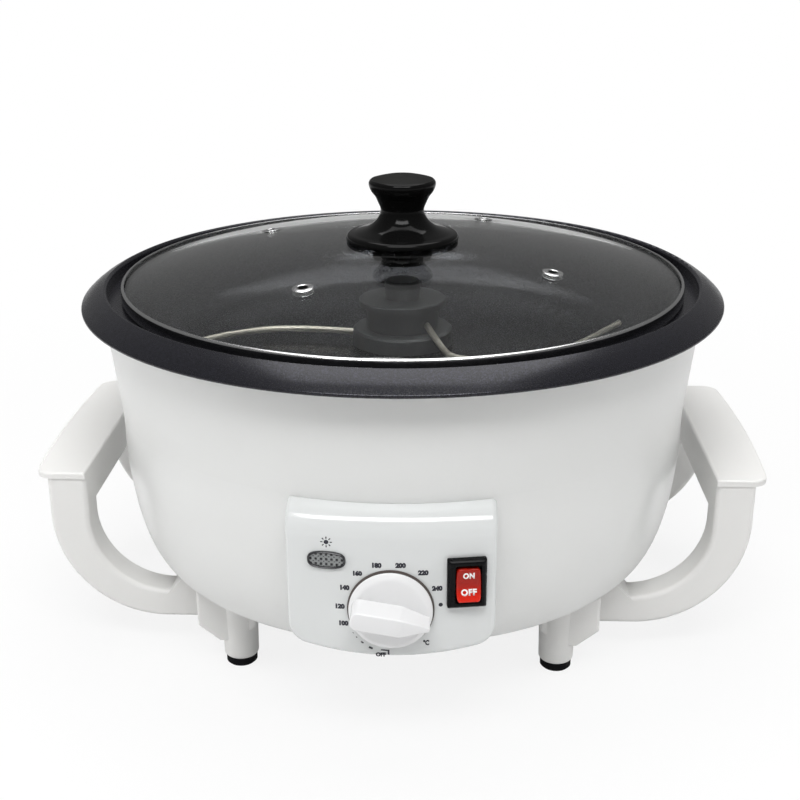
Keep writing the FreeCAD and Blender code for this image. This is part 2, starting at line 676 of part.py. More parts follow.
# ---- drive ----
def motor_bridge():
    top = box(-BRIDGE_HALF_L, BRIDGE_HALF_L, -BRIDGE_W / 2, BRIDGE_W / 2, MOTOR_TOP_Z, MOTOR_TOP_Z + BRIDGE_T)
    pieces = [top]
    out_x = BRIDGE_HALF_L + BRIDGE_FOOT
    for side in (-1, 1):
        near, far = sorted((side * BRIDGE_HALF_L, side * (BRIDGE_HALF_L - BRIDGE_T)))
        pieces.append(box(near, far, -BRIDGE_W / 2, BRIDGE_W / 2, BOWL_INNER_Z, MOTOR_TOP_Z + BRIDGE_T))
        near, far = sorted((side * (BRIDGE_HALF_L - BRIDGE_T), side * out_x))
        pieces.append(box(near, far, -BRIDGE_W / 2, BRIDGE_W / 2, BOWL_INNER_Z, BOWL_INNER_Z + BRIDGE_T))
    tools = [cylinder(MOTOR_EAR_R + SHAFT_R, 2 * BRIDGE_T, Vector(0, 0, MOTOR_TOP_Z - BRIDGE_T / 2))]
    tools += [cylinder(SCREW_R + PILOT_GAP, 3 * BRIDGE_T, place - Z_AXIS * 2 * BRIDGE_T)
              for place in bridge_screw_places() + motor_screw_places()]
    return cut(joined(pieces), tools)


def motor_screw_places():
    return [Vector(side * MOTOR_EAR_X, 0, MOTOR_TOP_Z + BRIDGE_T) for side in (-1, 1)]


def gear_motor():
    gearbox_z = MOTOR_TOP_Z - GEARBOX_H
    can = cylinder(MOTOR_R, MOTOR_H, Vector(0, 0, gearbox_z - MOTOR_H))
    rims = [edge for edge in can.Edges if edge.CenterOfMass.z < gearbox_z - MOTOR_H + RUN_GAP]
    can = can.makeFillet(MOTOR_R / 12, rims)
    gearbox = cylinder(MOTOR_R - 1.5 * PAN_SHEET, GEARBOX_H, Vector(0, 0, gearbox_z))
    ears = [cylinder(MOTOR_EAR_R, BRIDGE_T, Vector(side * MOTOR_EAR_X, 0, MOTOR_TOP_Z - BRIDGE_T))
            for side in (-1, 1)]
    web = box(-MOTOR_EAR_X, MOTOR_EAR_X, -MOTOR_EAR_R, MOTOR_EAR_R, MOTOR_TOP_Z - BRIDGE_T, MOTOR_TOP_Z)
    boss = cylinder(MOTOR_EAR_R + SHAFT_R / 2, BRIDGE_T + SHAFT_R, Vector(0, 0, MOTOR_TOP_Z))
    body = joined([can, gearbox, web, boss] + ears)
    bore = cylinder(SHAFT_R + RUN_GAP, MOTOR_SHAFT_DEPTH + BRIDGE_T + SHAFT_R,
                    Vector(0, 0, MOTOR_TOP_Z - MOTOR_SHAFT_DEPTH))
    holes = [cylinder(SCREW_R + PILOT_GAP, 3 * BRIDGE_T, place - Z_AXIS * 3 * BRIDGE_T)
             for place in motor_screw_places()]
    return cut(body, [bore] + holes)


def drive_shaft():
    low_z = MOTOR_TOP_Z - MOTOR_SHAFT_DEPTH + HEATER_GAP
    rod = cylinder(SHAFT_R, SHAFT_TOP_Z - low_z, Vector(0, 0, low_z))
    flat = box(SHAFT_R - SHAFT_FLAT, 2 * SHAFT_R, -SHAFT_R, SHAFT_R, SHAFT_TOP_Z - SHAFT_ENGAGE, SHAFT_TOP_Z)
    return rod.cut(flat)


def shaft_bush():
    outer = COLLAR_R - FIT_GAP
    flange_z = PAN_UNDER_Z - BRIDGE_T
    bush = joined([cylinder(outer, COLLAR_TOP_Z - PAN_UNDER_Z, Vector(0, 0, PAN_UNDER_Z)),
                   cylinder(outer + HUB_WALL, BRIDGE_T, Vector(0, 0, flange_z))])
    return bush.cut(cylinder(SHAFT_R + RUN_GAP, COLLAR_TOP_Z - flange_z, Vector(0, 0, flange_z)))


def stirrer_hub():
    round_r = HUB_DISC_H / 3
    base_top = HUB_Z + HUB_BASE_H
    post_top = HUB_POST_Z + HUB_POST_H
    outline = [(0, HUB_Z), (HUB_BASE_R, HUB_Z), (HUB_BASE_R, base_top - round_r),
               (HUB_BASE_R - round_r, base_top), (HUB_BODY_R, base_top),
               (HUB_BODY_R, HUB_DISC_Z), (HUB_DISC_R, HUB_DISC_Z),
               (HUB_DISC_R, HUB_POST_Z - round_r / 2), (HUB_DISC_R - round_r / 2, HUB_POST_Z),
               (HUB_POST_R, HUB_POST_Z), (HUB_POST_R, post_top - round_r), (HUB_POST_R - round_r, post_top),
               (0, post_top)]
    hub = turned_points(outline)
    hollow_r = COLLAR_R + PAN_SHEET + HUB_GAP
    hollow_top = max(COLLAR_TOP_Z + HUB_GAP, SHAFT_TOP_Z - SHAFT_ENGAGE)
    hollow = cylinder(hollow_r, hollow_top - HUB_Z, Vector(0, 0, HUB_Z))
    bore = cylinder(SHAFT_R + FIT_GAP, SHAFT_TOP_Z + FIT_GAP - HUB_Z, Vector(0, 0, HUB_Z))
    key = box(SHAFT_R - SHAFT_FLAT + FIT_GAP, 2 * SHAFT_R, -SHAFT_R * 2, SHAFT_R * 2,
              hollow_top, SHAFT_TOP_Z + FIT_GAP)
    return cut(hub, [hollow, bore.cut(key)])


def wire(places):
    """Round wire of two runs and one bend, which is as wide as the runs allow."""
    start, corner, end = places
    to_start = (start - corner).normalize()
    to_end = (end - corner).normalize()
    half_turn = (math.pi - to_start.getAngle(to_end)) / 2
    shorter = min(start.distanceToPoint(corner), end.distanceToPoint(corner))
    back = min(WIRE_BEND_R * math.tan(half_turn), shorter - WIRE_R)
    bend_r = back / math.tan(half_turn)
    first = corner + to_start * back
    last = corner + to_end * back
    inward = (to_start + to_end).normalize()
    middle = corner + inward * (bend_r / math.cos(half_turn) - bend_r)
    spine = Part.Wire([Part.makeLine(start, first), Part.Arc(first, middle, last).toShape(),
                       Part.makeLine(last, end)])
    ring = Part.Wire([Part.Circle(start, corner - start, WIRE_R).toShape()])
    return spine.makePipeShell([ring], True, True)


def stirrer_wires():
    """Two long curved wires in the hub's base and a third that comes down to them from higher up."""
    z = PAN_FLOOR_Z + WIRE_H
    high = PAN_FLOOR_Z + UPPER_WIRE_H
    right = wire([polar(WIRE_START, WIRE_START_DEG, z), polar(WIRE_TIP_R - WIRE_TIP_L, WIRE_CORNER_DEG, z),
                  polar(WIRE_TIP_R, WIRE_END_DEG, z)])
    left = right.copy()
    left.rotate(ORIGIN, Z_AXIS, FULL_TURN / 2)
    upper = wire([polar(WIRE_START, UPPER_WIRE_START_DEG, high),
                  polar(UPPER_WIRE_CORNER_R, UPPER_WIRE_CORNER_DEG, (z + high) / 2),
                  polar(WIRE_TIP_R - UPPER_WIRE_CUT_L, UPPER_WIRE_END_DEG, z)])
    return [right, left, upper]


def stirrer_arms():
    core = cylinder(HUB_BODY_R - WIRE_R, PAN_DEPTH, Vector(0, 0, PAN_FLOOR_Z))
    return Part.makeCompound([arm.cut(core) for arm in stirrer_wires()])


def hub_with_sockets():
    hub = stirrer_hub()
    core = cylinder(HUB_BODY_R - WIRE_R, PAN_DEPTH, Vector(0, 0, PAN_FLOOR_Z))
    return cut(hub, [arm.cut(core) for arm in stirrer_wires()])


# ---- lid ----
def dome(outer_r, edge_r):
    """Ball cap above the dome's centre, cut to a cylinder."""
    ball = Part.makeSphere(outer_r, Vector(0, 0, DOME_CENTRE_Z))
    return ball.common(cylinder(edge_r, LID_Z, Vector(0, 0, LID_Z / 2)))


def eyelet_frames():
    for index in range(EYELET_COUNT):
        direction = polar(EYELET_RING_R, EYELET_FIRST + FULL_TURN / EYELET_COUNT * index)
        drop = math.sqrt(DOME_R ** 2 - EYELET_RING_R ** 2)
        normal = Vector(direction.x, direction.y, drop).normalize()
        yield Vector(direction.x, direction.y, DOME_CENTRE_Z + drop), normal


def glass_lid():
    lid = dome(DOME_R, GLASS_R).cut(dome(DOME_R - GLASS_T, GLASS_R + GLASS_T))
    tools = [cylinder(EYELET_BARREL_R + FIT_GAP, 3 * GLASS_T, point - normal * 2 * GLASS_T, normal)
             for point, normal in eyelet_frames()]
    tools.append(cylinder(LID_SCREW_R + FIT_GAP, 3 * GLASS_T, Vector(0, 0, GLASS_TOP_Z - 2 * GLASS_T)))
    return cut(lid, tools)


def vent_eyelets():
    """Steel grommets, each a tube with a rolled flange on both faces of the glass."""
    eyelets = []
    for point, normal in eyelet_frames():
        length = GLASS_T + 2 * (EYELET_FLANGE + FIT_GAP)
        base = point - normal * (GLASS_T + EYELET_FLANGE + FIT_GAP)
        tube = cylinder(EYELET_BARREL_R, length, base, normal)
        lower = cylinder(EYELET_R, EYELET_FLANGE, base, normal)
        upper = Part.makeCone(EYELET_R, EYELET_BORE_R + EYELET_FLANGE, EYELET_FLANGE,
                              point + normal * FIT_GAP, normal)
        bore = cylinder(EYELET_BORE_R, 2 * length, base - normal * length / 2, normal)
        eyelets.append(joined([tube, lower, upper]).cut(bore))
    return Part.makeCompound(eyelets)


def lid_band():
    low_z = LID_Z - BAND_H
    inner = BAND_R - BAND_LIP_W
    wall = BAND_R - BAND_SHEET
    outline = [(inner, low_z), (BAND_R - BAND_SHEET / 2, low_z), (BAND_R, low_z + BAND_SHEET / 2),
               (BAND_R, LID_Z - BAND_SHEET / 2), (BAND_R - BAND_SHEET / 2, LID_Z), (inner, LID_Z),
               (inner, LID_Z - BAND_SHEET), (wall, LID_Z - BAND_SHEET), (wall, low_z + BAND_SHEET),
               (inner, low_z + BAND_SHEET)]
    return turned_points(outline)


def lid_knob():
    z = GLASS_TOP_Z
    low = z - GLASS_T / 2
    edge = KNOB_BASE_T / 2
    base_top = z + KNOB_BASE_T
    cap_z = z + KNOB_CAP_H
    top_z = z + KNOB_H
    neck_z = z + KNOB_NECK_H
    flare_mid = (KNOB_NECK_R + FLARE_SAG * (KNOB_BASE_R - KNOB_NECK_R),
                 z + KNOB_NECK_H * (1 - FLARE_SAG) ** 2)
    turn = (KNOB_CAP_R - KNOB_TURN_W, cap_z - KNOB_TURN_DROP)
    rise_mid = (KNOB_NECK_R + RISE_SAG * (turn[0] - KNOB_NECK_R), (neck_z + turn[1]) / 2)
    cheek_mid = (KNOB_CAP_R - KNOB_TURN_W / 4, cap_z - KNOB_TURN_DROP / 2)
    flare = [(KNOB_BASE_R - edge, base_top), flare_mid, (KNOB_NECK_R, neck_z)]
    rise = [(KNOB_NECK_R, neck_z), rise_mid, turn]
    cheek = [turn, cheek_mid, (KNOB_CAP_R, cap_z)]
    crown = [(KNOB_CAP_R, cap_z), (KNOB_CAP_R - edge / 3, cap_z + edge * 2 / 3),
             (KNOB_CAP_R - edge, cap_z + edge)]
    edges = [line((0, low), (KNOB_BASE_R, low)), line((KNOB_BASE_R, low), (KNOB_BASE_R, z + edge / 2)),
             arc((KNOB_BASE_R, z + edge / 2), (KNOB_BASE_R - edge / 4, base_top - edge / 4), flare[0]),
             arc(*flare), arc(*rise), arc(*cheek), arc(*crown),
             cap_arc(*crown[2], top_z), line((0, top_z), (0, low))]
    knob = turned(edges).cut(dome(DOME_R + FIT_GAP, 2 * KNOB_BASE_R))
    hole = cylinder(LID_SCREW_R + FIT_GAP, LID_SCREW_DEPTH, Vector(0, 0, z - FIT_GAP))
    return knob.cut(hole)


def lid_knob_collar():
    top = GLASS_TOP_Z - GLASS_T
    low_z = top - COLLAR_NUT_H
    edge = COLLAR_NUT_H / 8
    outline = [(0, low_z), (COLLAR_NUT_R - 2 * edge, low_z), (COLLAR_NUT_R - edge, low_z + edge),
               (COLLAR_NUT_R, low_z + 2 * edge), (COLLAR_NUT_R, top), (0, top)]
    collar = turned_points(outline).common(dome(DOME_R - GLASS_T - FIT_GAP, KNOB_BASE_R))
    recess = cylinder(LID_SCREW_HEAD_R + HUB_GAP, LID_SCREW_HEAD_H + HUB_GAP, Vector(0, 0, low_z))
    hole = cylinder(LID_SCREW_R + FIT_GAP, COLLAR_NUT_H, Vector(0, 0, low_z))
    return cut(collar, [recess, hole])


def lid_knob_screw():
    head_top = GLASS_TOP_Z - GLASS_T - COLLAR_NUT_H + LID_SCREW_HEAD_H + HUB_GAP
    length = GLASS_TOP_Z + LID_SCREW_DEPTH - 2 * HUB_GAP - head_top
    return screw(Vector(0, 0, head_top), Z_AXIS, length, LID_SCREW_HEAD_R, LID_SCREW_HEAD_H, LID_SCREW_R)


# ---- legs and pads ----
def leg():
    """Front right leg: a tapered foot with the shoulder block that stands beside the handle's arm."""
    back_y = -ARM_Y - ARM_GAP
    outline = [(LEG_X - BLOCK_IN_W, BLOCK_TOP_Z), (LEG_X + BLOCK_OUT_W, BLOCK_TOP_Z),
               (LEG_X + BLOCK_OUT_W, BLOCK_CORNER_Z), (LEG_X + BLOCK_LOW_W, BLOCK_LOW_Z),
               (LEG_X, BLOCK_LOW_Z), (LEG_X - BLOCK_IN_W, BLOCK_CORNER_Z)]
    block = prism(outline, back_y - BLOCK_DEPTH, back_y)
    corner_edges = [edge for edge in block.Edges if abs(edge.Length - BLOCK_DEPTH) < RUN_GAP
                    and edge.CenterOfMass.z < BOWL_FLOOR_Z]
    front_edges = [edge for edge in block.Edges if abs(edge.CenterOfMass.y - back_y + BLOCK_DEPTH) < RUN_GAP
                   and edge.CenterOfMass.z < BLOCK_TOP_Z]
    block = block.makeFillet(BLOCK_ROUND, corner_edges + front_edges)
    end_z = PAD_H
    ease = LEG_ROUND * (1 - math.sqrt(0.5))
    foot = turned([line((0, end_z), (LEG_END_R - LEG_ROUND, end_z)),
                   arc((LEG_END_R - LEG_ROUND, end_z), (LEG_END_R - ease, end_z + ease),
                       (LEG_END_R, end_z + LEG_ROUND)),
                   line((LEG_END_R, end_z + LEG_ROUND), (LEG_TOP_R, BOWL_FLOOR_Z)),
                   line((LEG_TOP_R, BOWL_FLOOR_Z), (0, BOWL_FLOOR_Z)), line((0, BOWL_FLOOR_Z), (0, end_z))])
    foot.translate(Vector(LEG_X, -LEG_Y, 0))
    stem_hole = cylinder(PAD_STEM_R + FIT_GAP, PAD_STEM_H + FIT_GAP, Vector(LEG_X, -LEG_Y, PAD_H))
    pilot = cylinder(SCREW_R + PILOT_GAP, SCREW_GRIP, Vector(LEG_X, -LEG_Y, BOWL_INNER_Z - SCREW_GRIP))
    return cut(joined([block, foot]), [seat_form(), stem_hole, pilot])


def rubber_pad():
    edge = PAD_H / 5
    outline = [(0, 0), (PAD_R - edge, 0), (PAD_R, edge), (PAD_R, PAD_H), (PAD_STEM_R, PAD_H),
               (PAD_STEM_R, PAD_H + PAD_STEM_H), (0, PAD_H + PAD_STEM_H)]
    pad = turned_points(outline)
    pad.translate(Vector(LEG_X, -LEG_Y, 0))
    return pad


# ---- handles ----
def arm_outline():
    """The C of one arm, seen from the front."""
    bend_x = GRIP_OUT_X - ARM_BEND_R
    bend_z = ARM_LOW_Z + ARM_BEND_R
    in_x = GRIP_IN_X - ARM_IN_BEND_R
    top_z = ARM_LOW_Z + ARM_T
    in_z = top_z + ARM_IN_BEND_R
    half = math.sqrt(0.5)
    return [
        line((GRIP_OUT_X, PLATE_Z), (GRIP_OUT_X, bend_z)),
        arc((GRIP_OUT_X, bend_z), (bend_x + ARM_BEND_R * half, bend_z - ARM_BEND_R * half),
            (bend_x, ARM_LOW_Z)),
        line((bend_x, ARM_LOW_Z), (ARM_END_X, ARM_LOW_Z)),
        line((ARM_END_X, ARM_LOW_Z), (ARM_END_X, BLOCK_TOP_Z)),
        line((ARM_END_X, BLOCK_TOP_Z), (ARM_PAD_X, BLOCK_TOP_Z)),
        line((ARM_PAD_X, BLOCK_TOP_Z), (ARM_PAD_X, BOWL_FLOOR_Z)),
        line((ARM_PAD_X, BOWL_FLOOR_Z), (in_x, top_z)),
        arc((in_x, top_z), (in_x + ARM_IN_BEND_R * half, in_z - ARM_IN_BEND_R * half), (GRIP_IN_X, in_z)),
        line((GRIP_IN_X, in_z), (GRIP_IN_X, PLATE_Z)),
        line((GRIP_IN_X, PLATE_Z), (GRIP_OUT_X, PLATE_Z)),
    ]


def grip_plate():
    """Top plate: straight inside, bowed outside, with round outer corners."""
    end_x = GRIP_OUT_X + PLATE_OVER
    corner_y = PLATE_HALF_L - PLATE_CORNER_R
    corner_x = end_x - PLATE_CORNER_R
    round_x = corner_x + PLATE_CORNER_R * math.sqrt(0.5)
    round_y = corner_y + PLATE_CORNER_R * math.sqrt(0.5)
    z = PLATE_Z
    outline = Part.Wire([
        Part.makeLine(Vector(GRIP_IN_X, -PLATE_HALF_L, z), Vector(corner_x, -PLATE_HALF_L, z)),
        Part.Arc(Vector(corner_x, -PLATE_HALF_L, z), Vector(round_x, -round_y, z),
                 Vector(end_x, -corner_y, z)).toShape(),
        Part.Arc(Vector(end_x, -corner_y, z), Vector(end_x + PLATE_BULGE, 0, z),
                 Vector(end_x, corner_y, z)).toShape(),
        Part.Arc(Vector(end_x, corner_y, z), Vector(round_x, round_y, z),
                 Vector(corner_x, PLATE_HALF_L, z)).toShape(),
        Part.makeLine(Vector(corner_x, PLATE_HALF_L, z), Vector(GRIP_IN_X, PLATE_HALF_L, z)),
        Part.makeLine(Vector(GRIP_IN_X, PLATE_HALF_L, z), Vector(GRIP_IN_X, -PLATE_HALF_L, z)),
    ])
    plate = Part.Face(outline).extrude(Vector(0, 0, PLATE_T))
    top_edges = [edge for edge in plate.Edges if abs(edge.CenterOfMass.z - GRIP_TOP_Z) < RUN_GAP]
    return plate.makeFillet(PLATE_T / 3, top_edges)


def rounded_arm(y0, y1):
    arm = drawn(arm_outline(), y0, y1)
    rims = [edge for edge in arm.Edges if abs(edge.CenterOfMass.x) > ARM_PAD_X + ARM_T
            and edge.CenterOfMass.z < PLATE_Z - RUN_GAP
            and min(abs(edge.CenterOfMass.y - y0), abs(edge.CenterOfMass.y - y1)) < RUN_GAP]
    return arm.makeFillet(ARM_ROUND, rims)


def handle():
    """Right handle: two arms, the grip between them and its top plate, in one moulding."""
    front = rounded_arm(-ARM_Y, -ARM_Y + ARM_DEPTH)
    rear = rounded_arm(ARM_Y - ARM_DEPTH, ARM_Y)
    inner_y = ARM_Y - ARM_DEPTH / 2
    grip = box(GRIP_IN_X, GRIP_OUT_X, -inner_y, inner_y, GRIP_LOW_Z, PLATE_Z)
    pocket_y = ARM_Y - ARM_DEPTH
    pocket = box(GRIP_IN_X + GRIP_WALL, GRIP_OUT_X - GRIP_WALL, -pocket_y, pocket_y,
                 GRIP_LOW_Z, PLATE_Z - GRIP_WALL)
    step = 2 * pocket_y / (GRIP_RIBS + 1)
    for index in range(GRIP_RIBS):
        y = -pocket_y + step * (index + 1)
        rib = box(GRIP_IN_X, GRIP_OUT_X, y - RIB_T / 2, y + RIB_T / 2, GRIP_LOW_Z + RIB_T, PLATE_Z)
        pocket = pocket.cut(rib)
    body = joined([front, rear, grip.cut(pocket), grip_plate()])
    pilots = [cylinder(SCREW_R + PILOT_GAP, SCREW_GRIP, place - Z_AXIS * SCREW_GRIP)
              for place in arm_screw_places()]
    return cut(body, [seat_form()] + pilots)


# ---- control housing ----
def housing_outline(inset):
    """Front elevation: straight sides, a gently bowed bottom and round lower corners."""
    half_w = FACE_HALF_W - inset
    low_r = HOUSING_LOW_R - inset
    corner_r = HOUSING_CORNER_R - inset
    low_z = HOUSING_LOW_Z + inset
    top_z = LID_Z
    centre_z = low_z + low_r
    corner_x = half_w - corner_r
    corner_z = centre_z - math.sqrt((low_r - corner_r) ** 2 - corner_x ** 2)
    touch = (low_r / (low_r - corner_r))
    touch_x = corner_x * touch
    touch_z = centre_z + (corner_z - centre_z) * touch
    middle = Vector(1, 0, 0) + Vector(touch_x - corner_x, 0, touch_z - corner_z).normalize()
    middle = middle.normalize() * corner_r
    return [
        line((-half_w, top_z), (-half_w, corner_z)),
        arc((-half_w, corner_z), (-corner_x - middle.x, corner_z + middle.z), (-touch_x, touch_z)),
        arc((-touch_x, touch_z), (0, low_z), (touch_x, touch_z)),
        arc((touch_x, touch_z), (corner_x + middle.x, corner_z + middle.z), (half_w, corner_z)),
        line((half_w, corner_z), (half_w, top_z)),
        line((half_w, top_z), (-half_w, top_z)),
    ]


def housing_form(inset):
    """The housing's outer form: its side profile swept along the curved face, cut to its outline."""
    face_r = FACE_R - inset
    top_z = HOUSING_TOP_Z - inset
    turn_z = HOUSING_TOP_Z - SHOULDER_DROP
    ease = math.sqrt(0.5)
    back_r = face_r - SHOULDER_BACK
    shoulder = arc((back_r, top_z), (back_r + SHOULDER_BACK * ease, turn_z + (top_z - turn_z) * ease),
                   (face_r, turn_z))
    far_r = FACE_CENTRE_Y - HOUSING_BACK_Y
    low_z = BOWL_FLOOR_Z
    edges = [line((far_r, low_z), (face_r, low_z)), line((face_r, low_z), (face_r, turn_z)), shoulder,
             line((back_r, top_z), (far_r, top_z)), line((far_r, top_z), (far_r, low_z))]
    half_angle = 2 * math.degrees(math.asin(FACE_HALF_W / FACE_R))
    profile = Part.Face(Part.Wire(edges))
    profile.rotate(ORIGIN, Z_AXIS, -90 - half_angle)
    sector = profile.revolve(ORIGIN, Z_AXIS, 2 * half_angle)
    sector.translate(Vector(0, FACE_CENTRE_Y, 0))
    return sector.common(drawn(housing_outline(inset), FACE_Y - FACE_HALF_W, HOUSING_BACK_Y))


def pill(width, height, y0, y1):
    """Rounded bar facing -Y, centred on the origin."""
    reach = (width - height) / 2
    bar = box(-reach, reach, y0, y1, -height / 2, height / 2)
    ends = [cylinder(height / 2, y1 - y0, Vector(side * reach, y0, 0), Y_AXIS) for side in (-1, 1)]
    return joined([bar] + ends)


def front_edges(form):
    """Edges where the curved face and its shoulder meet the sides and the bottom."""
    axis = Vector(0, FACE_CENTRE_Y, 0)
    found = []
    for edge in form.Edges:
        middle = edge.valueAt((edge.FirstParameter + edge.LastParameter) / 2)
        out = Vector(middle.x, middle.y - axis.y, 0).Length
        side = abs(abs(middle.x) - FACE_HALF_W) < RUN_GAP
        on_front = abs(out - FACE_R) < RUN_GAP and middle.z < HOUSING_TOP_Z - SHOULDER_DROP - RUN_GAP
        on_shoulder = side and middle.z > HOUSING_TOP_Z - SHOULDER_DROP and out > FACE_R - SHOULDER_BACK
        if on_front or on_shoulder and middle.z < HOUSING_TOP_Z - RUN_GAP:
            found.append(edge)
    return found


def control_housing():
    room = housing_form(HOUSING_WALL)
    outer = housing_form(0)
    shell = outer.makeFillet(HOUSING_EDGE_R, front_edges(outer)).cut(room)
    bosses = [cylinder(BOSS_R, -FACE_Y, place, normal).common(room) for place, normal in wall_places()]
    shell = joined([shell] + bosses).cut(seat_form())
    tools = [on_face(box(-BARREL_W / 2 - FIT_GAP, BARREL_W / 2 + FIT_GAP, -HOUSING_WALL, 2 * HOUSING_WALL,
                         -BARREL_H / 2 - FIT_GAP, BARREL_H / 2 + FIT_GAP), SWITCH_X, SWITCH_Z),
             on_face(pill(LENS_W - 2 * LENS_LIP + 2 * FIT_GAP, LENS_H - 2 * LENS_LIP + 2 * FIT_GAP,
                          -HOUSING_WALL, 2 * HOUSING_WALL), LAMP_X, LAMP_Z),
             cylinder(BUSHING_R + FIT_GAP, 4 * HOUSING_WALL, Vector(0, FACE_Y - HOUSING_WALL, DIAL_Z),
                      Y_AXIS)]
    tools += [cylinder(STAT_SCREW_R + FIT_GAP, 4 * HOUSING_WALL, place - Y_AXIS * HOUSING_WALL, Y_AXIS)
              for place in thermostat_screw_places()]
    tools += [cylinder(SCREW_R + PILOT_GAP, SCREW_GRIP, place, normal) for place, normal in wall_places()]
    return cut(shell, tools)


# ---- temperature knob and thermostat ----
def thermostat_screw_places():
    """Where the two screws' heads meet the curved face, beside the knob's shaft."""
    inner_x = STAT_SCREW_X - STAT_SCREW_HEAD_R
    out_y = FACE_CENTRE_Y - math.sqrt(FACE_R ** 2 - inner_x ** 2)
    return [Vector(side * STAT_SCREW_X, out_y - RUN_GAP, DIAL_Z) for side in (-1, 1)]


def facing(shape, x, z):
    """Turn a shape made along +Z to face -Y and move it to the housing's face."""
    shape.rotate(ORIGIN, X_AXIS, 90)
    shape.translate(Vector(x, FACE_Y, z))
    return shape


def temperature_knob():
    edge = DIAL_SKIRT_T / 3
    dish_r = DIAL_RIM_R - edge * 2
    back = DIAL_GAP
    skirt = back + DIAL_SKIRT_T
    edges = path([(0, back), (DIAL_R - edge, back), (DIAL_R, back + edge), (DIAL_R, skirt)])
    bulge = ((DIAL_R + DIAL_RIM_R) / 2 + edge, (skirt + DIAL_RIM_OUT) / 2 + edge)
    edges += [arc((DIAL_R, skirt), bulge, (DIAL_RIM_R, DIAL_RIM_OUT)),
              line((DIAL_RIM_R, DIAL_RIM_OUT), (dish_r, DIAL_RIM_OUT - edge)),
              cap_arc(dish_r, DIAL_RIM_OUT - edge, DIAL_RIM_OUT - edge - DIAL_DISH),
              line((0, DIAL_RIM_OUT - edge - DIAL_DISH), (0, back))]
    disc = turned(edges)
    grip = [(-DIAL_R + edge, skirt), (-DIAL_RIM_R, DIAL_GRIP_OUT - 2 * edge),
            (-DIAL_RIM_R + DIAL_GRIP_W / 2, DIAL_GRIP_OUT), (DIAL_GRIP_W / 2, DIAL_GRIP_OUT),
            (DIAL_RIM_R, DIAL_GRIP_LOW_OUT), (DIAL_R - edge, skirt)]
    bar = prism(grip, -DIAL_GRIP_W / 2, DIAL_GRIP_W / 2)
    wedge_half = DIAL_GRIP_W / 2
    top_half = DIAL_GRIP_TOP_W / 2
    peak = DIAL_GRIP_OUT + edge
    wedge = Part.makePolygon([Vector(-DIAL_R, -wedge_half, back), Vector(-DIAL_R, wedge_half, back),
                              Vector(-DIAL_R, top_half, peak), Vector(-DIAL_R, -top_half, peak),
                              Vector(-DIAL_R, -wedge_half, back)])
    bar = bar.common(Part.Face(wedge).extrude(Vector(2 * DIAL_R, 0, 0)))
    knob = joined([disc, bar])
    recess_top = STAT_SCREW_HEAD_H + DIAL_GAP + 2 * FIT_GAP
    recess_r = STAT_SCREW_X + STAT_SCREW_HEAD_R + DIAL_GAP
    recess = cylinder(recess_r, recess_top).cut(cylinder(DIAL_HUB_R, recess_top))
    knob = cut(knob, [recess, dial_shaft_form(FIT_GAP / 2, DIAL_SHAFT_OUT + FIT_GAP)])
    knob.rotate(ORIGIN, Z_AXIS, DIAL_POINTER_DEG - 180)
    return facing(knob, 0, DIAL_Z)


def dial_shaft_form(gap, top):
    """D shaft along +Z from the thermostat's switch up into the knob."""
    low = -HOUSING_WALL - STAT_D / 2
    rod = cylinder(DIAL_SHAFT_R + gap, top - low, Vector(0, 0, low))
    wide = 2 * DIAL_SHAFT_R
    flat = box(DIAL_SHAFT_R / 2 + gap, wide, -wide, wide, DIAL_GAP, 2 * top)
    return rod.cut(flat)


def thermostat_shaft():
    shaft = dial_shaft_form(0, DIAL_SHAFT_OUT)
    shaft.rotate(ORIGIN, Z_AXIS, DIAL_POINTER_DEG - 180)
    return facing(shaft, 0, DIAL_Z)


def thermostat_body():
    back = -HOUSING_WALL - FIT_GAP - STAT_W ** 2 / (8 * FACE_R)
    low = back - STAT_D
    edge = STAT_TAB_W / 2
    body = box(-STAT_W / 2, STAT_W / 2, -STAT_H / 2, STAT_H / 2, low, back)
    body = body.makeChamfer(edge, [e for e in body.Edges if abs(e.Length - STAT_D) < RUN_GAP])
    bushing = cylinder(BUSHING_R, -back, Vector(0, 0, back))
    tabs = [box(x - STAT_TAB_W / 2, x + STAT_TAB_W / 2, -STAT_TAB_T / 2, STAT_TAB_T / 2,
                low - STAT_TAB_H, low) for x in (-STAT_W / 3, STAT_W / 3)]
    whole = joined([body, bushing] + tabs)
    bore = cylinder(DIAL_SHAFT_R + RUN_GAP, STAT_D, Vector(0, 0, -HOUSING_WALL - STAT_D / 2))
    whole = facing(whole.cut(bore), 0, DIAL_Z)
    pilots = [cylinder(STAT_SCREW_R + FIT_GAP, HOUSING_WALL + SCREW_GRIP, place, Y_AXIS)
              for place in thermostat_screw_places()]
    return cut(whole, pilots)


def thermostat_screws():
    return Part.makeCompound([screw(place, Y_AXIS, HOUSING_WALL + SCREW_GRIP - SCREW_R, STAT_SCREW_HEAD_R,
                                    STAT_SCREW_HEAD_H, STAT_SCREW_R) for place in thermostat_screw_places()])


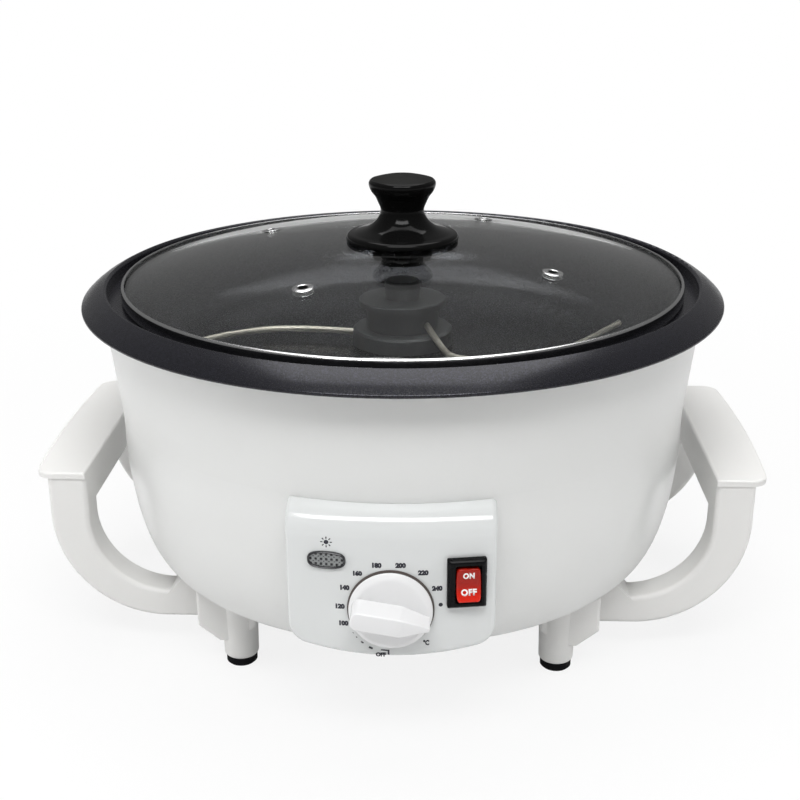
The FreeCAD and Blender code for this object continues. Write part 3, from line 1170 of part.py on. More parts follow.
# ---- switch ----
def switch_body():
    front = -BEZEL_OUT
    bezel = box(-BEZEL_W / 2, BEZEL_W / 2, front, 0, -BEZEL_H / 2, BEZEL_H / 2)
    bezel = bezel.makeChamfer(BEZEL_EDGE, [e for e in bezel.Edges if abs(e.CenterOfMass.y - front) < RUN_GAP])
    barrel = box(-BARREL_W / 2, BARREL_W / 2, 0, BARREL_D, -BARREL_H / 2, BARREL_H / 2)
    pocket_w = ROCKER_W / 2 + ROCKER_GAP
    pocket_h = ROCKER_END_R + ROCKER_GAP
    pocket = box(-pocket_w, pocket_w, front, front + POCKET_D, -pocket_h, pocket_h)
    pin_hole = cylinder(ROCKER_PIN_R + RUN_GAP, BARREL_W,
                        Vector(-BARREL_W / 2, front + ROCKER_PIVOT_IN, 0), X_AXIS)
    pin_x = pocket_w + ROCKER_PIN_L
    pin_hole = pin_hole.common(box(-pin_x, pin_x, front, BARREL_D, -BARREL_H, BARREL_H))
    tabs = [box(-STAT_TAB_W / 2, STAT_TAB_W / 2, BARREL_D, BARREL_D + STAT_TAB_H,
                z - STAT_TAB_T / 2, z + STAT_TAB_T / 2) for z in (-BARREL_H / 4, BARREL_H / 4)]
    body = cut(joined([bezel, barrel] + tabs), [pocket, pin_hole])
    return on_face(body, SWITCH_X, SWITCH_Z)


def switch_rocker():
    """Rocker with a bent face and round ends about its pivot, pressed at the top."""
    out = ROCKER_PIVOT_IN + ROCKER_FLUSH
    radius = ROCKER_END_R
    rise = math.tan(math.radians(ROCKER_TRAVEL))
    top_z = math.sqrt(radius ** 2 - out ** 2)
    back_z = math.sqrt(radius ** 2 - ROCKER_BACK ** 2)
    low_z = (out * rise - math.sqrt(radius ** 2 * (1 + rise ** 2) - out ** 2)) / (1 + rise ** 2)
    low_out = out - low_z * rise
    pivot_y = -BEZEL_OUT + ROCKER_PIVOT_IN

    def spot(outward, z):
        return Vector(-ROCKER_W / 2, pivot_y - outward, z)

    profile = Part.Wire([
        Part.makeLine(spot(out, top_z), spot(out, 0)),
        Part.makeLine(spot(out, 0), spot(low_out, low_z)),
        Part.Arc(spot(low_out, low_z), spot(0, -radius), spot(-ROCKER_BACK, -back_z)).toShape(),
        Part.makeLine(spot(-ROCKER_BACK, -back_z), spot(-ROCKER_BACK, back_z)),
        Part.Arc(spot(-ROCKER_BACK, back_z), spot(0, radius), spot(out, top_z)).toShape(),
    ])
    rocker = Part.Face(profile).extrude(Vector(ROCKER_W, 0, 0))
    reach = ROCKER_W / 2 + ROCKER_GAP + ROCKER_PIN_L - RUN_GAP
    pin = cylinder(ROCKER_PIN_R, 2 * reach, Vector(-reach, pivot_y, 0), X_AXIS)
    return on_face(joined([rocker, pin]), SWITCH_X, SWITCH_Z)


# ---- indicator ----
def indicator_lens():
    flange = pill(LENS_W, LENS_H, -LENS_FLANGE, 0)
    crown = pill(LENS_W - 2 * LENS_LIP, LENS_H - 2 * LENS_LIP, -LENS_OUT, LENS_IN)
    lens = joined([flange, crown])
    pocket = cylinder(BULB_R + ROCKER_GAP, LENS_IN, Vector(0, LENS_IN - HOUSING_WALL, 0), Y_AXIS)
    return on_face(lens.cut(pocket), LAMP_X, LAMP_Z)


def indicator_lamp():
    start = LENS_IN - HOUSING_WALL + ROCKER_GAP
    bulb = cylinder(BULB_R, BULB_L - BULB_R, Vector(0, start + BULB_R, 0), Y_AXIS)
    return on_face(joined([bulb, Part.makeSphere(BULB_R, Vector(0, start + BULB_R, 0))]), LAMP_X, LAMP_Z)


# ---- mains entry and wiring ----
def cord_gland():
    wall_r = bowl_radius(GLAND_Z)
    face_y = wall_r + GLAND_OUT
    barrel = cylinder(GLAND_R, GLAND_L, Vector(0, face_y - GLAND_L, GLAND_Z), Y_AXIS)
    flange = cylinder(GLAND_FLANGE_R, GLAND_OUT + BOWL_SHEET, Vector(0, wall_r - BOWL_SHEET, GLAND_Z), Y_AXIS)
    flange = flange.cut(bowl_solid(0))
    rim = [e for e in flange.Edges if abs(e.CenterOfMass.y - face_y) < RUN_GAP]
    flange = flange.makeFillet(GLAND_OUT / 3, rim)
    bore = cylinder(GLAND_BORE_R, 2 * GLAND_L, Vector(0, face_y - 1.5 * GLAND_L, GLAND_Z), Y_AXIS)
    return joined([barrel, flange]).cut(bore)


def gland_nut():
    wall_r = bowl_radius(GLAND_Z - GLAND_NUT_R, BOWL_SHEET) - FIT_GAP
    y = math.sqrt(wall_r ** 2 - GLAND_NUT_R ** 2) - GLAND_NUT_T
    place = Vector(0, y, GLAND_Z)
    points = []
    for k in range(7):
        spoke = polar(GLAND_NUT_R, 60 * k)
        points.append(place + Vector(spoke.x, 0, spoke.y))
    nut = Part.Face(Part.makePolygon(points)).extrude(Vector(0, GLAND_NUT_T, 0))
    return nut.cut(cylinder(GLAND_R + RUN_GAP, GLAND_NUT_T, place, Y_AXIS))


def terminal_block():
    z = BOWL_INNER_Z
    block = box(-TERMINAL_W / 2, TERMINAL_W / 2, TERMINAL_Y - TERMINAL_D / 2, TERMINAL_Y + TERMINAL_D / 2,
                z, z + TERMINAL_H)
    step = TERMINAL_W / TERMINAL_POLES
    tools = []
    for index in range(TERMINAL_POLES):
        x = -TERMINAL_W / 2 + step * (index + 0.5)
        tools.append(cylinder(TERMINAL_HOLE_R, 2 * TERMINAL_D,
                              Vector(x, TERMINAL_Y - TERMINAL_D, z + TERMINAL_H / 2), Y_AXIS))
        tools.append(cylinder(TERMINAL_HOLE_R, TERMINAL_H, Vector(x, TERMINAL_Y, z + TERMINAL_H / 2)))
    for index in range(TERMINAL_POLES - 1):
        x = -TERMINAL_W / 2 + step * (index + 1)
        tools.append(box(x - RIB_T / 4, x + RIB_T / 4, TERMINAL_Y - TERMINAL_D, TERMINAL_Y + TERMINAL_D,
                         z + 0.8 * TERMINAL_H, z + 2 * TERMINAL_H))
    return cut(block, tools)


# ---- screws ----
def leg_screws():
    return Part.makeCompound([screw(place, -Z_AXIS, SCREW_GRIP - SCREW_R) for place in leg_screw_places()])


def handle_screws():
    return Part.makeCompound([screw(place, -Z_AXIS, SCREW_GRIP - SCREW_R) for place in arm_screw_places()])


def housing_screws():
    return Part.makeCompound([screw(place - normal * HEAD_GAP, normal, SCREW_GRIP - SCREW_R)
                              for place, normal in wall_places()])


def cover_screws():
    length = COVER_SHEET + BOWL_SHEET + SCREW_R
    return Part.makeCompound([screw(place, Z_AXIS, length) for place in cover_screw_places()])


def bridge_screws():
    length = BRIDGE_T + BOWL_SHEET + SCREW_R
    return Part.makeCompound([screw(place, -Z_AXIS, length) for place in bridge_screw_places()])


def motor_screws():
    length = 2 * BRIDGE_T + SCREW_R
    return Part.makeCompound([screw(place, -Z_AXIS, length) for place in motor_screw_places()])


def nodes():
    parts = {
        "body_shell": body_shell(),
        "base_cover": base_cover(),
        "inner_pan": inner_pan(),
        "heating_element": heating_element(),
        "heat_shield": heat_shield(),
        "tie_rods": tie_rods(),
        "tie_nuts": tie_nuts(),
        "sensor_bulb": sensor_bulb(),
        "motor_bridge": motor_bridge(),
        "gear_motor": gear_motor(),
        "drive_shaft": drive_shaft(),
        "shaft_bush": shaft_bush(),
        "stirrer_hub": hub_with_sockets(),
        "stirrer_arms": stirrer_arms(),
        "glass_lid": glass_lid(),
        "lid_band": lid_band(),
        "vent_eyelets": vent_eyelets(),
        "lid_knob": lid_knob(),
        "lid_knob_collar": lid_knob_collar(),
        "lid_knob_screw": lid_knob_screw(),
        "control_housing": control_housing(),
        "temperature_knob": temperature_knob(),
        "thermostat_shaft": thermostat_shaft(),
        "thermostat_body": thermostat_body(),
        "switch_body": switch_body(),
        "switch_rocker": switch_rocker(),
        "indicator_lens": indicator_lens(),
        "indicator_lamp": indicator_lamp(),
        "cord_gland": cord_gland(),
        "gland_nut": gland_nut(),
        "terminal_block": terminal_block(),
        "leg_screws": leg_screws(),
        "handle_screws": handle_screws(),
        "cover_screws": cover_screws(),
        "bridge_screws": bridge_screws(),
        "motor_screws": motor_screws(),
        "housing_screws": housing_screws(),
        "thermostat_screws": thermostat_screws(),
    }
    right = {"front": (leg(), rubber_pad())}
    right["rear"] = tuple(mirrored_y(shape) for shape in right["front"])
    for end, (foot, pad) in right.items():
        parts["leg_" + end + "_right"] = foot
        parts["leg_" + end + "_left"] = mirrored_x(foot)
        parts["rubber_pad_" + end + "_right"] = pad
        parts["rubber_pad_" + end + "_left"] = mirrored_x(pad)
    grip = handle()
    parts["handle_right"] = grip
    parts["handle_left"] = mirrored_x(grip)
    return parts


def main():
    os.makedirs("parts", exist_ok=True)
    for name, shape in nodes().items():
        shape.exportStep("parts/" + name + ".step")
        print(name, len(shape.Solids), shape.isValid(), round(shape.Volume, 1))


main()
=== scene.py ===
import math

import bmesh
import bpy
from mathutils import Matrix, Vector


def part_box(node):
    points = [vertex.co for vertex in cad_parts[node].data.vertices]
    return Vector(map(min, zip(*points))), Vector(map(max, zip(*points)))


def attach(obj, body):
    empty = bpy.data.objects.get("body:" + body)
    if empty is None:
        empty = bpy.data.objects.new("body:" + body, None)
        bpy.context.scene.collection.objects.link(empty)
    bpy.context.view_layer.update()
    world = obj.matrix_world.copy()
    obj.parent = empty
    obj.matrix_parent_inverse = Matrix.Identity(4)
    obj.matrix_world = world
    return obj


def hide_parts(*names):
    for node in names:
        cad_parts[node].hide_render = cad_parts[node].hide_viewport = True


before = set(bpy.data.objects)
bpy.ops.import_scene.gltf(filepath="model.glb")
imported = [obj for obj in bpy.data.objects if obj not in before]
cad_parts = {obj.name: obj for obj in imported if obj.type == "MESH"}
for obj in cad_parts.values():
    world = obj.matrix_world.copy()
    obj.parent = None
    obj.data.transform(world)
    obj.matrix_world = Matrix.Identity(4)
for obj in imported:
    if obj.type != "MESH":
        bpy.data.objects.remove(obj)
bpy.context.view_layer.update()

bl_info = {
    "name": "Coffee Roaster Dressing",
    "version": (1, 0, 0),
    "blender": (4, 5, 0),
    "location": "3D View > Sidebar > Roaster",
    "description": "Finishes and fine pieces of a home coffee bean roaster",
    "category": "Object",
}

MM = 0.001

# ---- the front panel's curved face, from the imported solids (metres) ----
PANEL_FACE_R = 0.197
PANEL_FACE_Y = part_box("control_housing")[0].y
PANEL_CENTRE_Y = PANEL_FACE_Y + PANEL_FACE_R

# ---- marks on the panel (millimetres and degrees, about the temperature knob or the indicator) ----
INK_T = 0.03
DIGIT_WEIGHT = 0.078
LETTER_WEIGHT, LETTER_SPACING = 0.045, 1.1
DIAL_MARKS = [("100", 201, 19.9), ("120", 179, 19.9), ("140", 154, 19.9), ("160", 130, 19.9),
              ("180", 105.5, 19.7), ("200", 78.4, 19.5), ("220", 51.5, 20.3), ("240", 26.3, 20.2)]
OFF_MARK = (-4.0, -20.6, 1.9)
OFF_CORNER = [(-4.0, -18.2), (-0.6, -18.4), (-0.6, -20.6), (-1.3, -20.6), (-1.3, -18.95), (-4.0, -18.75)]
UNIT_MARK = (13.9, -15.1, 2.5)
DOT_PLACE = (19.5, 1.7, 0.85)
DOT_STEPS = 20
TICKS = [(217, 18.7, 0.17), (224, 18.9, 0.22), (233.5, 19.1, 0.40), (245.7, 19.4, 0.55)]
LAMP_SIGN_RISE = 7.6
LAMP_SIGN_R = 0.95
LAMP_SIGN_RAY = [(1.4, -0.22), (2.3, -0.22), (2.3, 0.22), (1.4, 0.22)]
LAMP_SIGN_RAYS = 8

# ---- stage (metres and watts) ----
SKY_LIGHT = 0.2
MIRROR_SHARE = 0.3
FLOOR_REACH = 9.0
FLOOR_NEAR, FLOOR_FAR = 0.20, 0.62
LAMPS_AIM = Vector((0, 0, 0.1))
LAMPS = [("lamp_over", (0.02, 0.26, 1.30), (1.10, 1.10), 12.0),
         ("lamp_front", (0.00, -0.78, 1.22), (1.10, 0.34), 13.5),
         ("lamp_fill_left", (-1.30, -0.35, 0.55), (0.50, 0.70), 5.6),
         ("lamp_fill_right", (1.30, -0.35, 0.55), (0.50, 0.70), 3.0)]

# ---- metals and ceramic of the small parts ----
BRIGHT_STEEL = (0.62, 0.62, 0.62)
ZINC = (0.55, 0.56, 0.57)
CERAMIC = (0.75, 0.73, 0.70)

# ---- screws (millimetres; a screw is its head's radius and height, and its shank's radius and length) ----
SCREW_STEPS, SCREW_ROWS = 64, 14
COVER_SCREW = (3.8, 2.0, 2.0, 4.4)
COVER_SCREW_RING_R = 0.063
LID_SCREW_HEAD_R, LID_SCREW_HEAD_H, LID_SCREW_SHANK_R = 4.6, 2.4, 2.5
DOWNWARD = Vector((0, 0.0001, -1))  # a hair off plumb, so that a turn to it is definite

# ---- stirrer (millimetres; a wire's turns are x, y and the height over its lowest run) ----
WIRE_R = 1.5
WIRE_SIDES = 14
WIRE_BEND_STEPS = 10
OUTER_WIRE = [(10.7, -9.0, 8.4), (19.5, -29.0, 1.4), (23.0, -35.5, 0.0), (34.0, -39.5, 0.0),
              (70.0, -38.0, 0.0), (104.8, 20.0, 0.0)]
INNER_WIRE = [(-12.0, 1.5, 0.0), (-45.0, 10.0, 0.0), (-78.0, 4.5, 0.0), (-103.0, -23.5, 0.0)]

# ---- lid (metres, and the bore in millimetres) ----
DOME_RISE = 0.01726
GROMMET_RING_R = 0.0774
GROMMET_DEG = -120.5
GROMMET_BORE_R = 2.1

# ---- temperature knob (millimetres) ----
DIAL_STEPS = 96
DIAL_R = 16.5
GRIP_STATIONS = 48
GRIP_LEFT, GRIP_RIGHT = -15.3, 15.6
GRIP_ROUND_R = 3.2
GRIP_TAPER_FROM = 4.0
GRIP_TIP_HALF = 0.9
GRIP_TIP_DROP = 3.0
GRIP_EDGE_R = 0.6
GRIP_FLARE = [(0.3, 1.0), (0.12, 5.0)]
POINTER_DEG = 170

# ---- indicator (millimetres; a ring is how far it grows and how far it stands out of the panel) ----
OVAL_POWER = 2.7
OVAL_STEPS = 56
FRAME_W, FRAME_H = 15.2, 7.4
FRAME_RINGS = [(0.0, 0.02), (0.0, 0.45), (-0.12, 0.8), (-0.38, 1.0), (-0.7, 0.85), (-0.85, 0.3),
               (-0.85, -4.9)]
INSERT_W, INSERT_H = 13.3, 5.7
INSERT_RINGS = [(0, -3.0), (0, 0.2), (-0.1, 0.3)]
PRISM_PITCH = 2.05
PRISM_ROW_RISE = 0.4
PRISM_FOOT, PRISM_TIP = 0.2, 0.75
PRISMS_HALF_W, PRISMS_HALF_H = 6.7, 2.8

# ---- switch (millimetres) ----
ROCKER_PRESS_DEG = 16
ROCKER_BEND = 0.9
ROCKER_HALF_W, ROCKER_HALF_H = 4.85, 6.7
ROCKER_BACK = -3.0
ROCKER_PROUD = 0.2
ROCKER_EDGE = [(0, 1.0), (0, 0.5), (0.10, 0.25), (0.28, 0.08), (0.55, 0.0), (1.2, 0.0)]
ROCKER_ROWS = (0.85, 0.7, 0.55, 0.4, 0.25, 0.1)
BEZEL_W, BEZEL_H = 15.4, 21.0
BEZEL_OUT = 3.0
BEZEL_ASIDE = 0.25
ROCKER_ASIDE = 0.6
WELL_W, WELL_H, WELL_FLOOR = 10.2, 15.9, -5.6
BARREL_W, BARREL_H, BARREL_BACK = 12.8, 18.8, -17.0
TAB_W, TAB_T, TAB_BACK, TAB_RISE = 5.0, 0.8, -23.0, 4.7
SWITCH_LETTERS = [("ON", 0.86, 4.0, 0.98), ("OFF", 1.0, -2.7, 1.0)]


def middle(node):
    low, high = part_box(node)
    return (low + high) / 2


def polar(radius, degrees):
    return radius * math.cos(math.radians(degrees)), radius * math.sin(math.radians(degrees))


# ---- shader expressions ----
class Value:
    """A socket of a finish. Arithmetic on it adds Math nodes."""

    def __init__(self, finish, socket):
        self.finish = finish
        self.socket = socket

    def math(self, operation, *others):
        return self.finish.node("ShaderNodeMath", {"operation": operation}, dict(enumerate((self,) + others)))

    def __add__(self, other):
        return self.math("ADD", other)

    __radd__ = __add__

    def __mul__(self, other):
        return self.math("MULTIPLY", other)

    __rmul__ = __mul__

    def __sub__(self, other):
        return self.math("SUBTRACT", other)

    def __rsub__(self, other):
        return self * -1 + other

    def __pow__(self, other):
        return self.math("POWER", other)

    def step(self, low, high):
        """0 below low, 1 above high, smooth between; low may be the larger."""
        return self.finish.node("ShaderNodeMapRange", {"interpolation_type": "SMOOTHSTEP"},
                                {"Value": self, "From Min": low, "From Max": high})


class Finish:
    """A material of one Principled shader, with its texture nodes."""

    def __init__(self, name, **constants):
        self.material = bpy.data.materials.new(name)
        self.material.use_nodes = True
        self.tree = self.material.node_tree
        self.shader = self.tree.nodes["Principled BSDF"]
        self.set(**constants)
        self.place = self.node("ShaderNodeTexCoord", {}, {}, "Object")

    def node(self, kind, settings, inputs, output=0):
        """A node of this kind: its settings are made first, then its inputs are fed."""
        made = self.tree.nodes.new(kind)
        for name, setting in settings.items():
            setattr(made, name, setting)
        for key, value in inputs.items():
            self.feed(made.inputs[key], value)
        return Value(self, made.outputs[output])

    def outputs(self, kind, inputs, *names):
        """Several outputs of one node."""
        made = self.node(kind, {}, inputs).socket.node
        return [Value(self, made.outputs[name]) for name in names]

    def feed(self, socket, value):
        if isinstance(value, Value):
            self.tree.links.new(value.socket, socket)
        else:
            socket.default_value = value

    def set(self, **inputs):
        """Feed the shader's inputs, and give the material."""
        for name, value in inputs.items():
            self.feed(self.shader.inputs[name.replace("_", " ")], value)
        return self.material

    def noise(self, scale, detail, roughness=0.5, place=None):
        return self.node("ShaderNodeTexNoise", {}, {"Vector": place or self.place, "Scale": scale,
                                                    "Detail": detail, "Roughness": roughness})

    def cells(self, scale):
        """A number that differs from cell to cell."""
        colour = self.node("ShaderNodeTexVoronoi", {}, {"Vector": self.place, "Scale": scale}, "Color")
        return self.node("ShaderNodeSeparateColor", {}, {"Color": colour})

    def mix(self, factor, first, second):
        return self.node("ShaderNodeMix", {"data_type": "RGBA"}, {0: factor, 6: first, 7: second}, 2)

    def shaded(self, factor, colour, gain):
        """From a colour's paler or darker shade to the colour itself."""
        return self.mix(factor, tinted(colour, gain), rgba(colour))

    def bump(self, height, strength, distance):
        return self.node("ShaderNodeBump", {}, {"Height": height, "Strength": strength, "Distance": distance})

    def axes(self):
        """The place's x, y and z."""
        return self.outputs("ShaderNodeSeparateXYZ", {"Vector": self.place}, 0, 1, 2)

    def turned_place(self, along):
        """The radius, the height, and a place made of both for marks that run round the Z axis."""
        x, y, z = self.axes()
        radius = (x * x + y * y) ** 0.5
        angle = y.math("ARCTAN2", x)
        return radius, z, self.node("ShaderNodeCombineXYZ", {}, {"X": radius, "Y": angle * along, "Z": z})


def rgba(colour):
    return (*colour, 1.0)


def tinted(colour, gain):
    return tuple(min(1.0, channel * gain) for channel in colour) + (1.0,)


def enamel(colour):
    """Baked enamel on drawn steel: slight orange peel, a soft uneven gloss, and patches darker and duller
    towards the bottom.
    """
    made = Finish("baked_enamel", IOR=1.5, Coat_Roughness=0.12)
    peel = made.noise(520, 3, 0.55)
    cloud = made.noise(14, 3)
    low = made.axes()[2].step(0.075, 0.033) * made.noise(60, 4, 0.6).step(0.35, 0.7)
    clean = made.shaded(cloud.step(0.3, 0.7), colour, 0.975)
    return made.set(Base_Color=made.mix(low * 0.10, clean, tinted(colour, 0.55)),
                    Roughness=cloud * 0.10 + 0.30 + low * 0.1, Coat_Weight=0.35 - low * 0.2,
                    Normal=made.bump(peel, 0.10, 0.0004))


def gloss_moulding(name, colour, roughness, wave=0.05):
    """Polished injection moulding with the faint waviness of its tool and hairline scuffs."""
    made = Finish(name, IOR=1.49)
    wavy = made.noise(38, 2)
    scuffs = made.noise(900, 2, 0.7, made.node("ShaderNodeMapping", {}, {"Vector": made.place,
                                                                        "Scale": (1.0, 0.4, 0.06)}))
    return made.set(Base_Color=made.shaded(wavy, colour, 0.985),
                    Roughness=scuffs.step(0.55, 0.75) * 0.05 + roughness,
                    Normal=made.bump(wavy + scuffs * 0.04, wave, 0.0015))


def satin_moulding(name, colour, roughness):
    """Spark-eroded moulding: fine even grain, edges polished a little by hands."""
    made = Finish(name, IOR=1.49)
    fine = made.noise(1500, 2, 0.6)
    cloud = made.noise(22, 3)
    edge = made.node("ShaderNodeNewGeometry", {}, {}, "Pointiness").step(0.52, 0.60)
    return made.set(Base_Color=made.shaded(cloud, colour, 0.97),
                    Roughness=fine * 0.08 + (cloud * 0.06 + roughness) - edge * 0.12,
                    Normal=made.bump(fine, 0.22, 0.0002))


def pan_coating(colour):
    """Non-stick coating: dark grey with fine mica flecks, and rings scuffed by the stirrer in the pan."""
    made = Finish("flecked_coating", IOR=1.45, Specular_IOR_Level=0.5)
    pick = made.cells(2700)
    mica = pick.step(0.45, 1.0)
    radius, z, place = made.turned_place(0.02)
    rings = made.noise(700, 3, 0.65, place).step(0.56, 0.72)
    scuff = rings * z.step(0.150, 0.136) * radius.step(0.128, 0.118)
    base = made.mix(mica, rgba(colour), tinted(colour, 3.2))
    return made.set(Base_Color=made.mix(scuff * 0.3, base, (0.07, 0.07, 0.072, 1.0)),
                    Metallic=mica * 0.4 + 0.3, Roughness=0.29 - pick * 0.12 - scuff * 0.04,
                    Normal=made.bump(made.noise(1500, 3, 0.6), 0.10, 0.0002))


def tempered_glass(colour):
    """Clear glass, very slightly wavy and smeared."""
    made = Finish("tempered_glass", IOR=1.46, Transmission_Weight=1.0, Base_Color=rgba(colour))
    smear = made.noise(26, 4, 0.6)
    return made.set(Roughness=smear.step(0.5, 0.8) * 0.02 + 0.004,
                    Normal=made.bump(made.noise(9, 1), 0.03, 0.002))


def turned_steel(name, colour, roughness):
    """Polished steel with fine lines round the roaster's axis."""
    made = Finish(name, Metallic=1.0)
    brush = made.noise(2600, 2, 0.6, made.turned_place(0.03)[2])
    cloud = made.noise(40, 3)
    return made.set(Base_Color=made.shaded(cloud, colour, 0.92),
                    Roughness=brush * 0.10 + cloud * 0.05 + roughness, Normal=made.bump(brush, 0.12, 0.0001))


def plain_steel(name, colour, roughness):
    """Sheet or wire metal with a fine uneven grain."""
    made = Finish(name, Metallic=1.0)
    brush = made.noise(900, 3, 0.6)
    cloud = made.noise(70, 4, 0.6)
    return made.set(Base_Color=made.shaded(cloud.step(0.35, 0.65), colour, 0.86),
                    Roughness=brush * 0.12 + cloud * 0.10 + roughness, Normal=made.bump(brush, 0.15, 0.0001))


def wire_steel(colour):
    """Drawn and polished wire: an even shine with faint draw marks."""
    made = Finish("wire_steel", Metallic=0.5)
    draw = made.noise(420, 2, 0.5)
    return made.set(Base_Color=made.shaded(draw.step(0.4, 0.6), colour, 0.92),
                    Roughness=draw * 0.06 + 0.30, Normal=made.bump(draw, 0.03, 0.0001))


def zinc_plate(name, colour, roughness):
    """Zinc-plated sheet: faint spangle and a dull uneven film."""
    made = Finish(name, Metallic=1.0)
    spangle = made.cells(230)
    film = made.noise(55, 4, 0.6)
    return made.set(Base_Color=made.shaded(spangle * 0.5 + film * 0.5, colour, 0.80),
                    Roughness=spangle * 0.12 + film * 0.15 + roughness,
                    Normal=made.bump(film + spangle * 0.2, 0.10, 0.0002))


def rubber(name, colour):
    """Dull rubber with fine pores and a little dust."""
    made = Finish(name, IOR=1.5, Specular_IOR_Level=0.1)
    fine = made.noise(1400, 3, 0.65)
    dust = made.noise(90, 4, 0.7).step(0.5, 0.75)
    return made.set(Base_Color=made.mix(dust * 0.2, rgba(colour), (0.09, 0.085, 0.08, 1.0)),
                    Roughness=0.72 + fine * 0.18, Normal=made.bump(fine, 0.35, 0.0003))


def black_moulding(name, colour, roughness, grain=1300, strength=0.15, shine=0.5):
    """Black thermoset or nylon with a fine grain and lint in the grain."""
    made = Finish(name, IOR=1.5, Specular_IOR_Level=shine)
    fine = made.noise(grain, 2, 0.6)
    lint = made.noise(260, 4, 0.7).step(0.62, 0.8)
    return made.set(Base_Color=made.mix(lint * 0.25, rgba(colour), (0.05, 0.05, 0.05, 1.0)),
                    Roughness=roughness + fine * 0.08 + lint * 0.1, Normal=made.bump(fine, strength, 0.00015))


def knob_phenolic(colour, top_z):
    """Pressed black phenolic: polished flanks and a dull, faintly turned top."""
    made = Finish("black_phenolic", IOR=1.5, Specular_IOR_Level=0.1)
    radius, z, place = made.turned_place(0.02)
    top = z.step(top_z - 0.0032, top_z - 0.0022) * radius.step(0.0147, 0.0139)
    swirl = made.noise(1500, 2, 0.6, place)
    fine = made.noise(700, 2)
    return made.set(Base_Color=made.mix(top, rgba(colour), (0.008, 0.008, 0.0075, 1.0)),
                    Roughness=fine * 0.04 + 0.09 + top * (swirl * 0.15 + 0.42),
                    Normal=made.bump(fine * 0.3 + top * swirl, 0.10, 0.0002))


def rocker_red(colour, pivot_z):
    """Tinted polycarbonate with painted light: the half that stands out is painted lighter, the half pressed
    in painted darker.
    """
    made = Finish("rocker_red", IOR=1.5, Specular_IOR_Level=0.25)
    # painted light and shade: the half that stands out is lighter, the half pressed in darker
    out = made.axes()[2].step(pivot_z + 0.001, pivot_z - 0.006)
    fine = made.noise(1200, 3, 0.6)
    return made.set(Base_Color=made.mix(out, tinted(colour, 0.72), tinted(colour, 1.45)),
                    Roughness=fine * 0.1 + 0.2, Normal=made.bump(fine, 0.08, 0.0002))


def lens_prisms(colour, centre):
    """Prism lens with painted light and shade, as of a dark pocket behind it: painted light along the prisms'
    flanks, painted shade at their tips and corners.
    """
    made = Finish("lens_prisms", IOR=1.58)
    x, _, z = made.axes()
    wave = 2 * math.pi / (PRISM_PITCH * MM)
    across = ((x - centre.x) * wave).math("COSINE")
    along = ((z - centre.z - PRISM_ROW_RISE * MM) * wave).math("COSINE")
    grime_and_painted_shade = made.noise(900, 3)
    # painted shade at the prisms' tips and corners and in blotches, painted light along their flanks
    painted_prism_shade = (across * along + (across + along) * 0.25 + grime_and_painted_shade * 0.7).step(0.25, 0.95)
    return made.set(Base_Color=made.mix(painted_prism_shade, rgba(colour), (0.012, 0.012, 0.014, 1.0)),
                    Metallic=0.2, Roughness=grime_and_painted_shade * 0.1 + 0.12)


def ink(name, colour):
    """Printing ink, a little thin in places."""
    made = Finish(name, IOR=1.45)
    thin = made.noise(1800, 3, 0.7)
    return made.set(Base_Color=made.mix(thin.step(0.62, 0.9) * 0.3, rgba(colour), (0.25, 0.25, 0.26, 1.0)),
                    Roughness=thin * 0.1 + 0.35)


def unglazed(name, colour):
    """Bare ceramic with a sandy grain."""
    made = Finish(name, IOR=1.5)
    grain = made.noise(700, 4, 0.65)
    return made.set(Base_Color=made.shaded(grain, colour, 0.88), Roughness=grain * 0.2 + 0.5,
                    Normal=made.bump(grain, 0.2, 0.0003))


# ---- meshes ----
def dress(material, *nodes):
    """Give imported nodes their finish."""
    for node in nodes:
        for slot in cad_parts[node].material_slots:
            slot.material = material


def placed(name, data):
    """A new object in the scene."""
    made = bpy.data.objects.new(name, data)
    bpy.context.scene.collection.objects.link(made)
    return made


def piece(name, mesh, material, body, slot, *nodes):
    """A new piece that rides on a body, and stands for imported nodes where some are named."""
    mesh.materials.append(material)
    made = placed(name, mesh)
    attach(made, body)
    if nodes:
        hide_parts(*nodes)
    return made


def merged(name, meshes, degrees=None):
    """One mesh of several. With an angle its faces turn outward and smooth, and sharper edges stay crisp."""
    edit = bmesh.new()
    for mesh in meshes:
        edit.from_mesh(mesh)
    if degrees is not None:
        bmesh.ops.recalc_face_normals(edit, faces=edit.faces)
        for face in edit.faces:
            face.smooth = True
        for edge in edit.edges:
            edge.smooth = len(edge.link_faces) != 2 or edge.calc_face_angle(0) <= math.radians(degrees)
    whole = bpy.data.meshes.new(name)
    edit.to_mesh(whole)
    edit.free()
    return whole


def skinned(name, rings, place, degrees=35, ends="flat"):
    """Skin through rings of points (right, up, out) in millimetres, which place puts in the frame.
    A ring of one point is a tip. The ends are flat, open, or joined to each other."""
    points = [tuple(place(Vector(point) * MM)) for ring in rings for point in ring]
    numbers = iter(range(len(points)))
    loops = [[next(numbers) for point in ring] for ring in rings]
    faces = []
    for first, second in zip(loops, loops[1:] + loops[:1] if ends == "joined" else loops[1:]):
        for step in range(max(len(first), len(second))):
            around = [loop[turn % len(loop)] for loop, turn in
                      ((first, step), (first, step + 1), (second, step + 1), (second, step))]
            faces.append(tuple(dict.fromkeys(around)))
    if ends == "flat":
        faces += [loop for loop in (loops[0], loops[-1]) if len(loop) > 1]
    return merged(name, [plain_mesh(points, faces)], degrees)


def plain_mesh(points, faces):
    mesh = bpy.data.meshes.new("plain")
    mesh.from_pydata(points, [], faces)
    return mesh


def ring_points(radius, count):
    return [polar(radius, 360 * index / count) for index in range(count)]


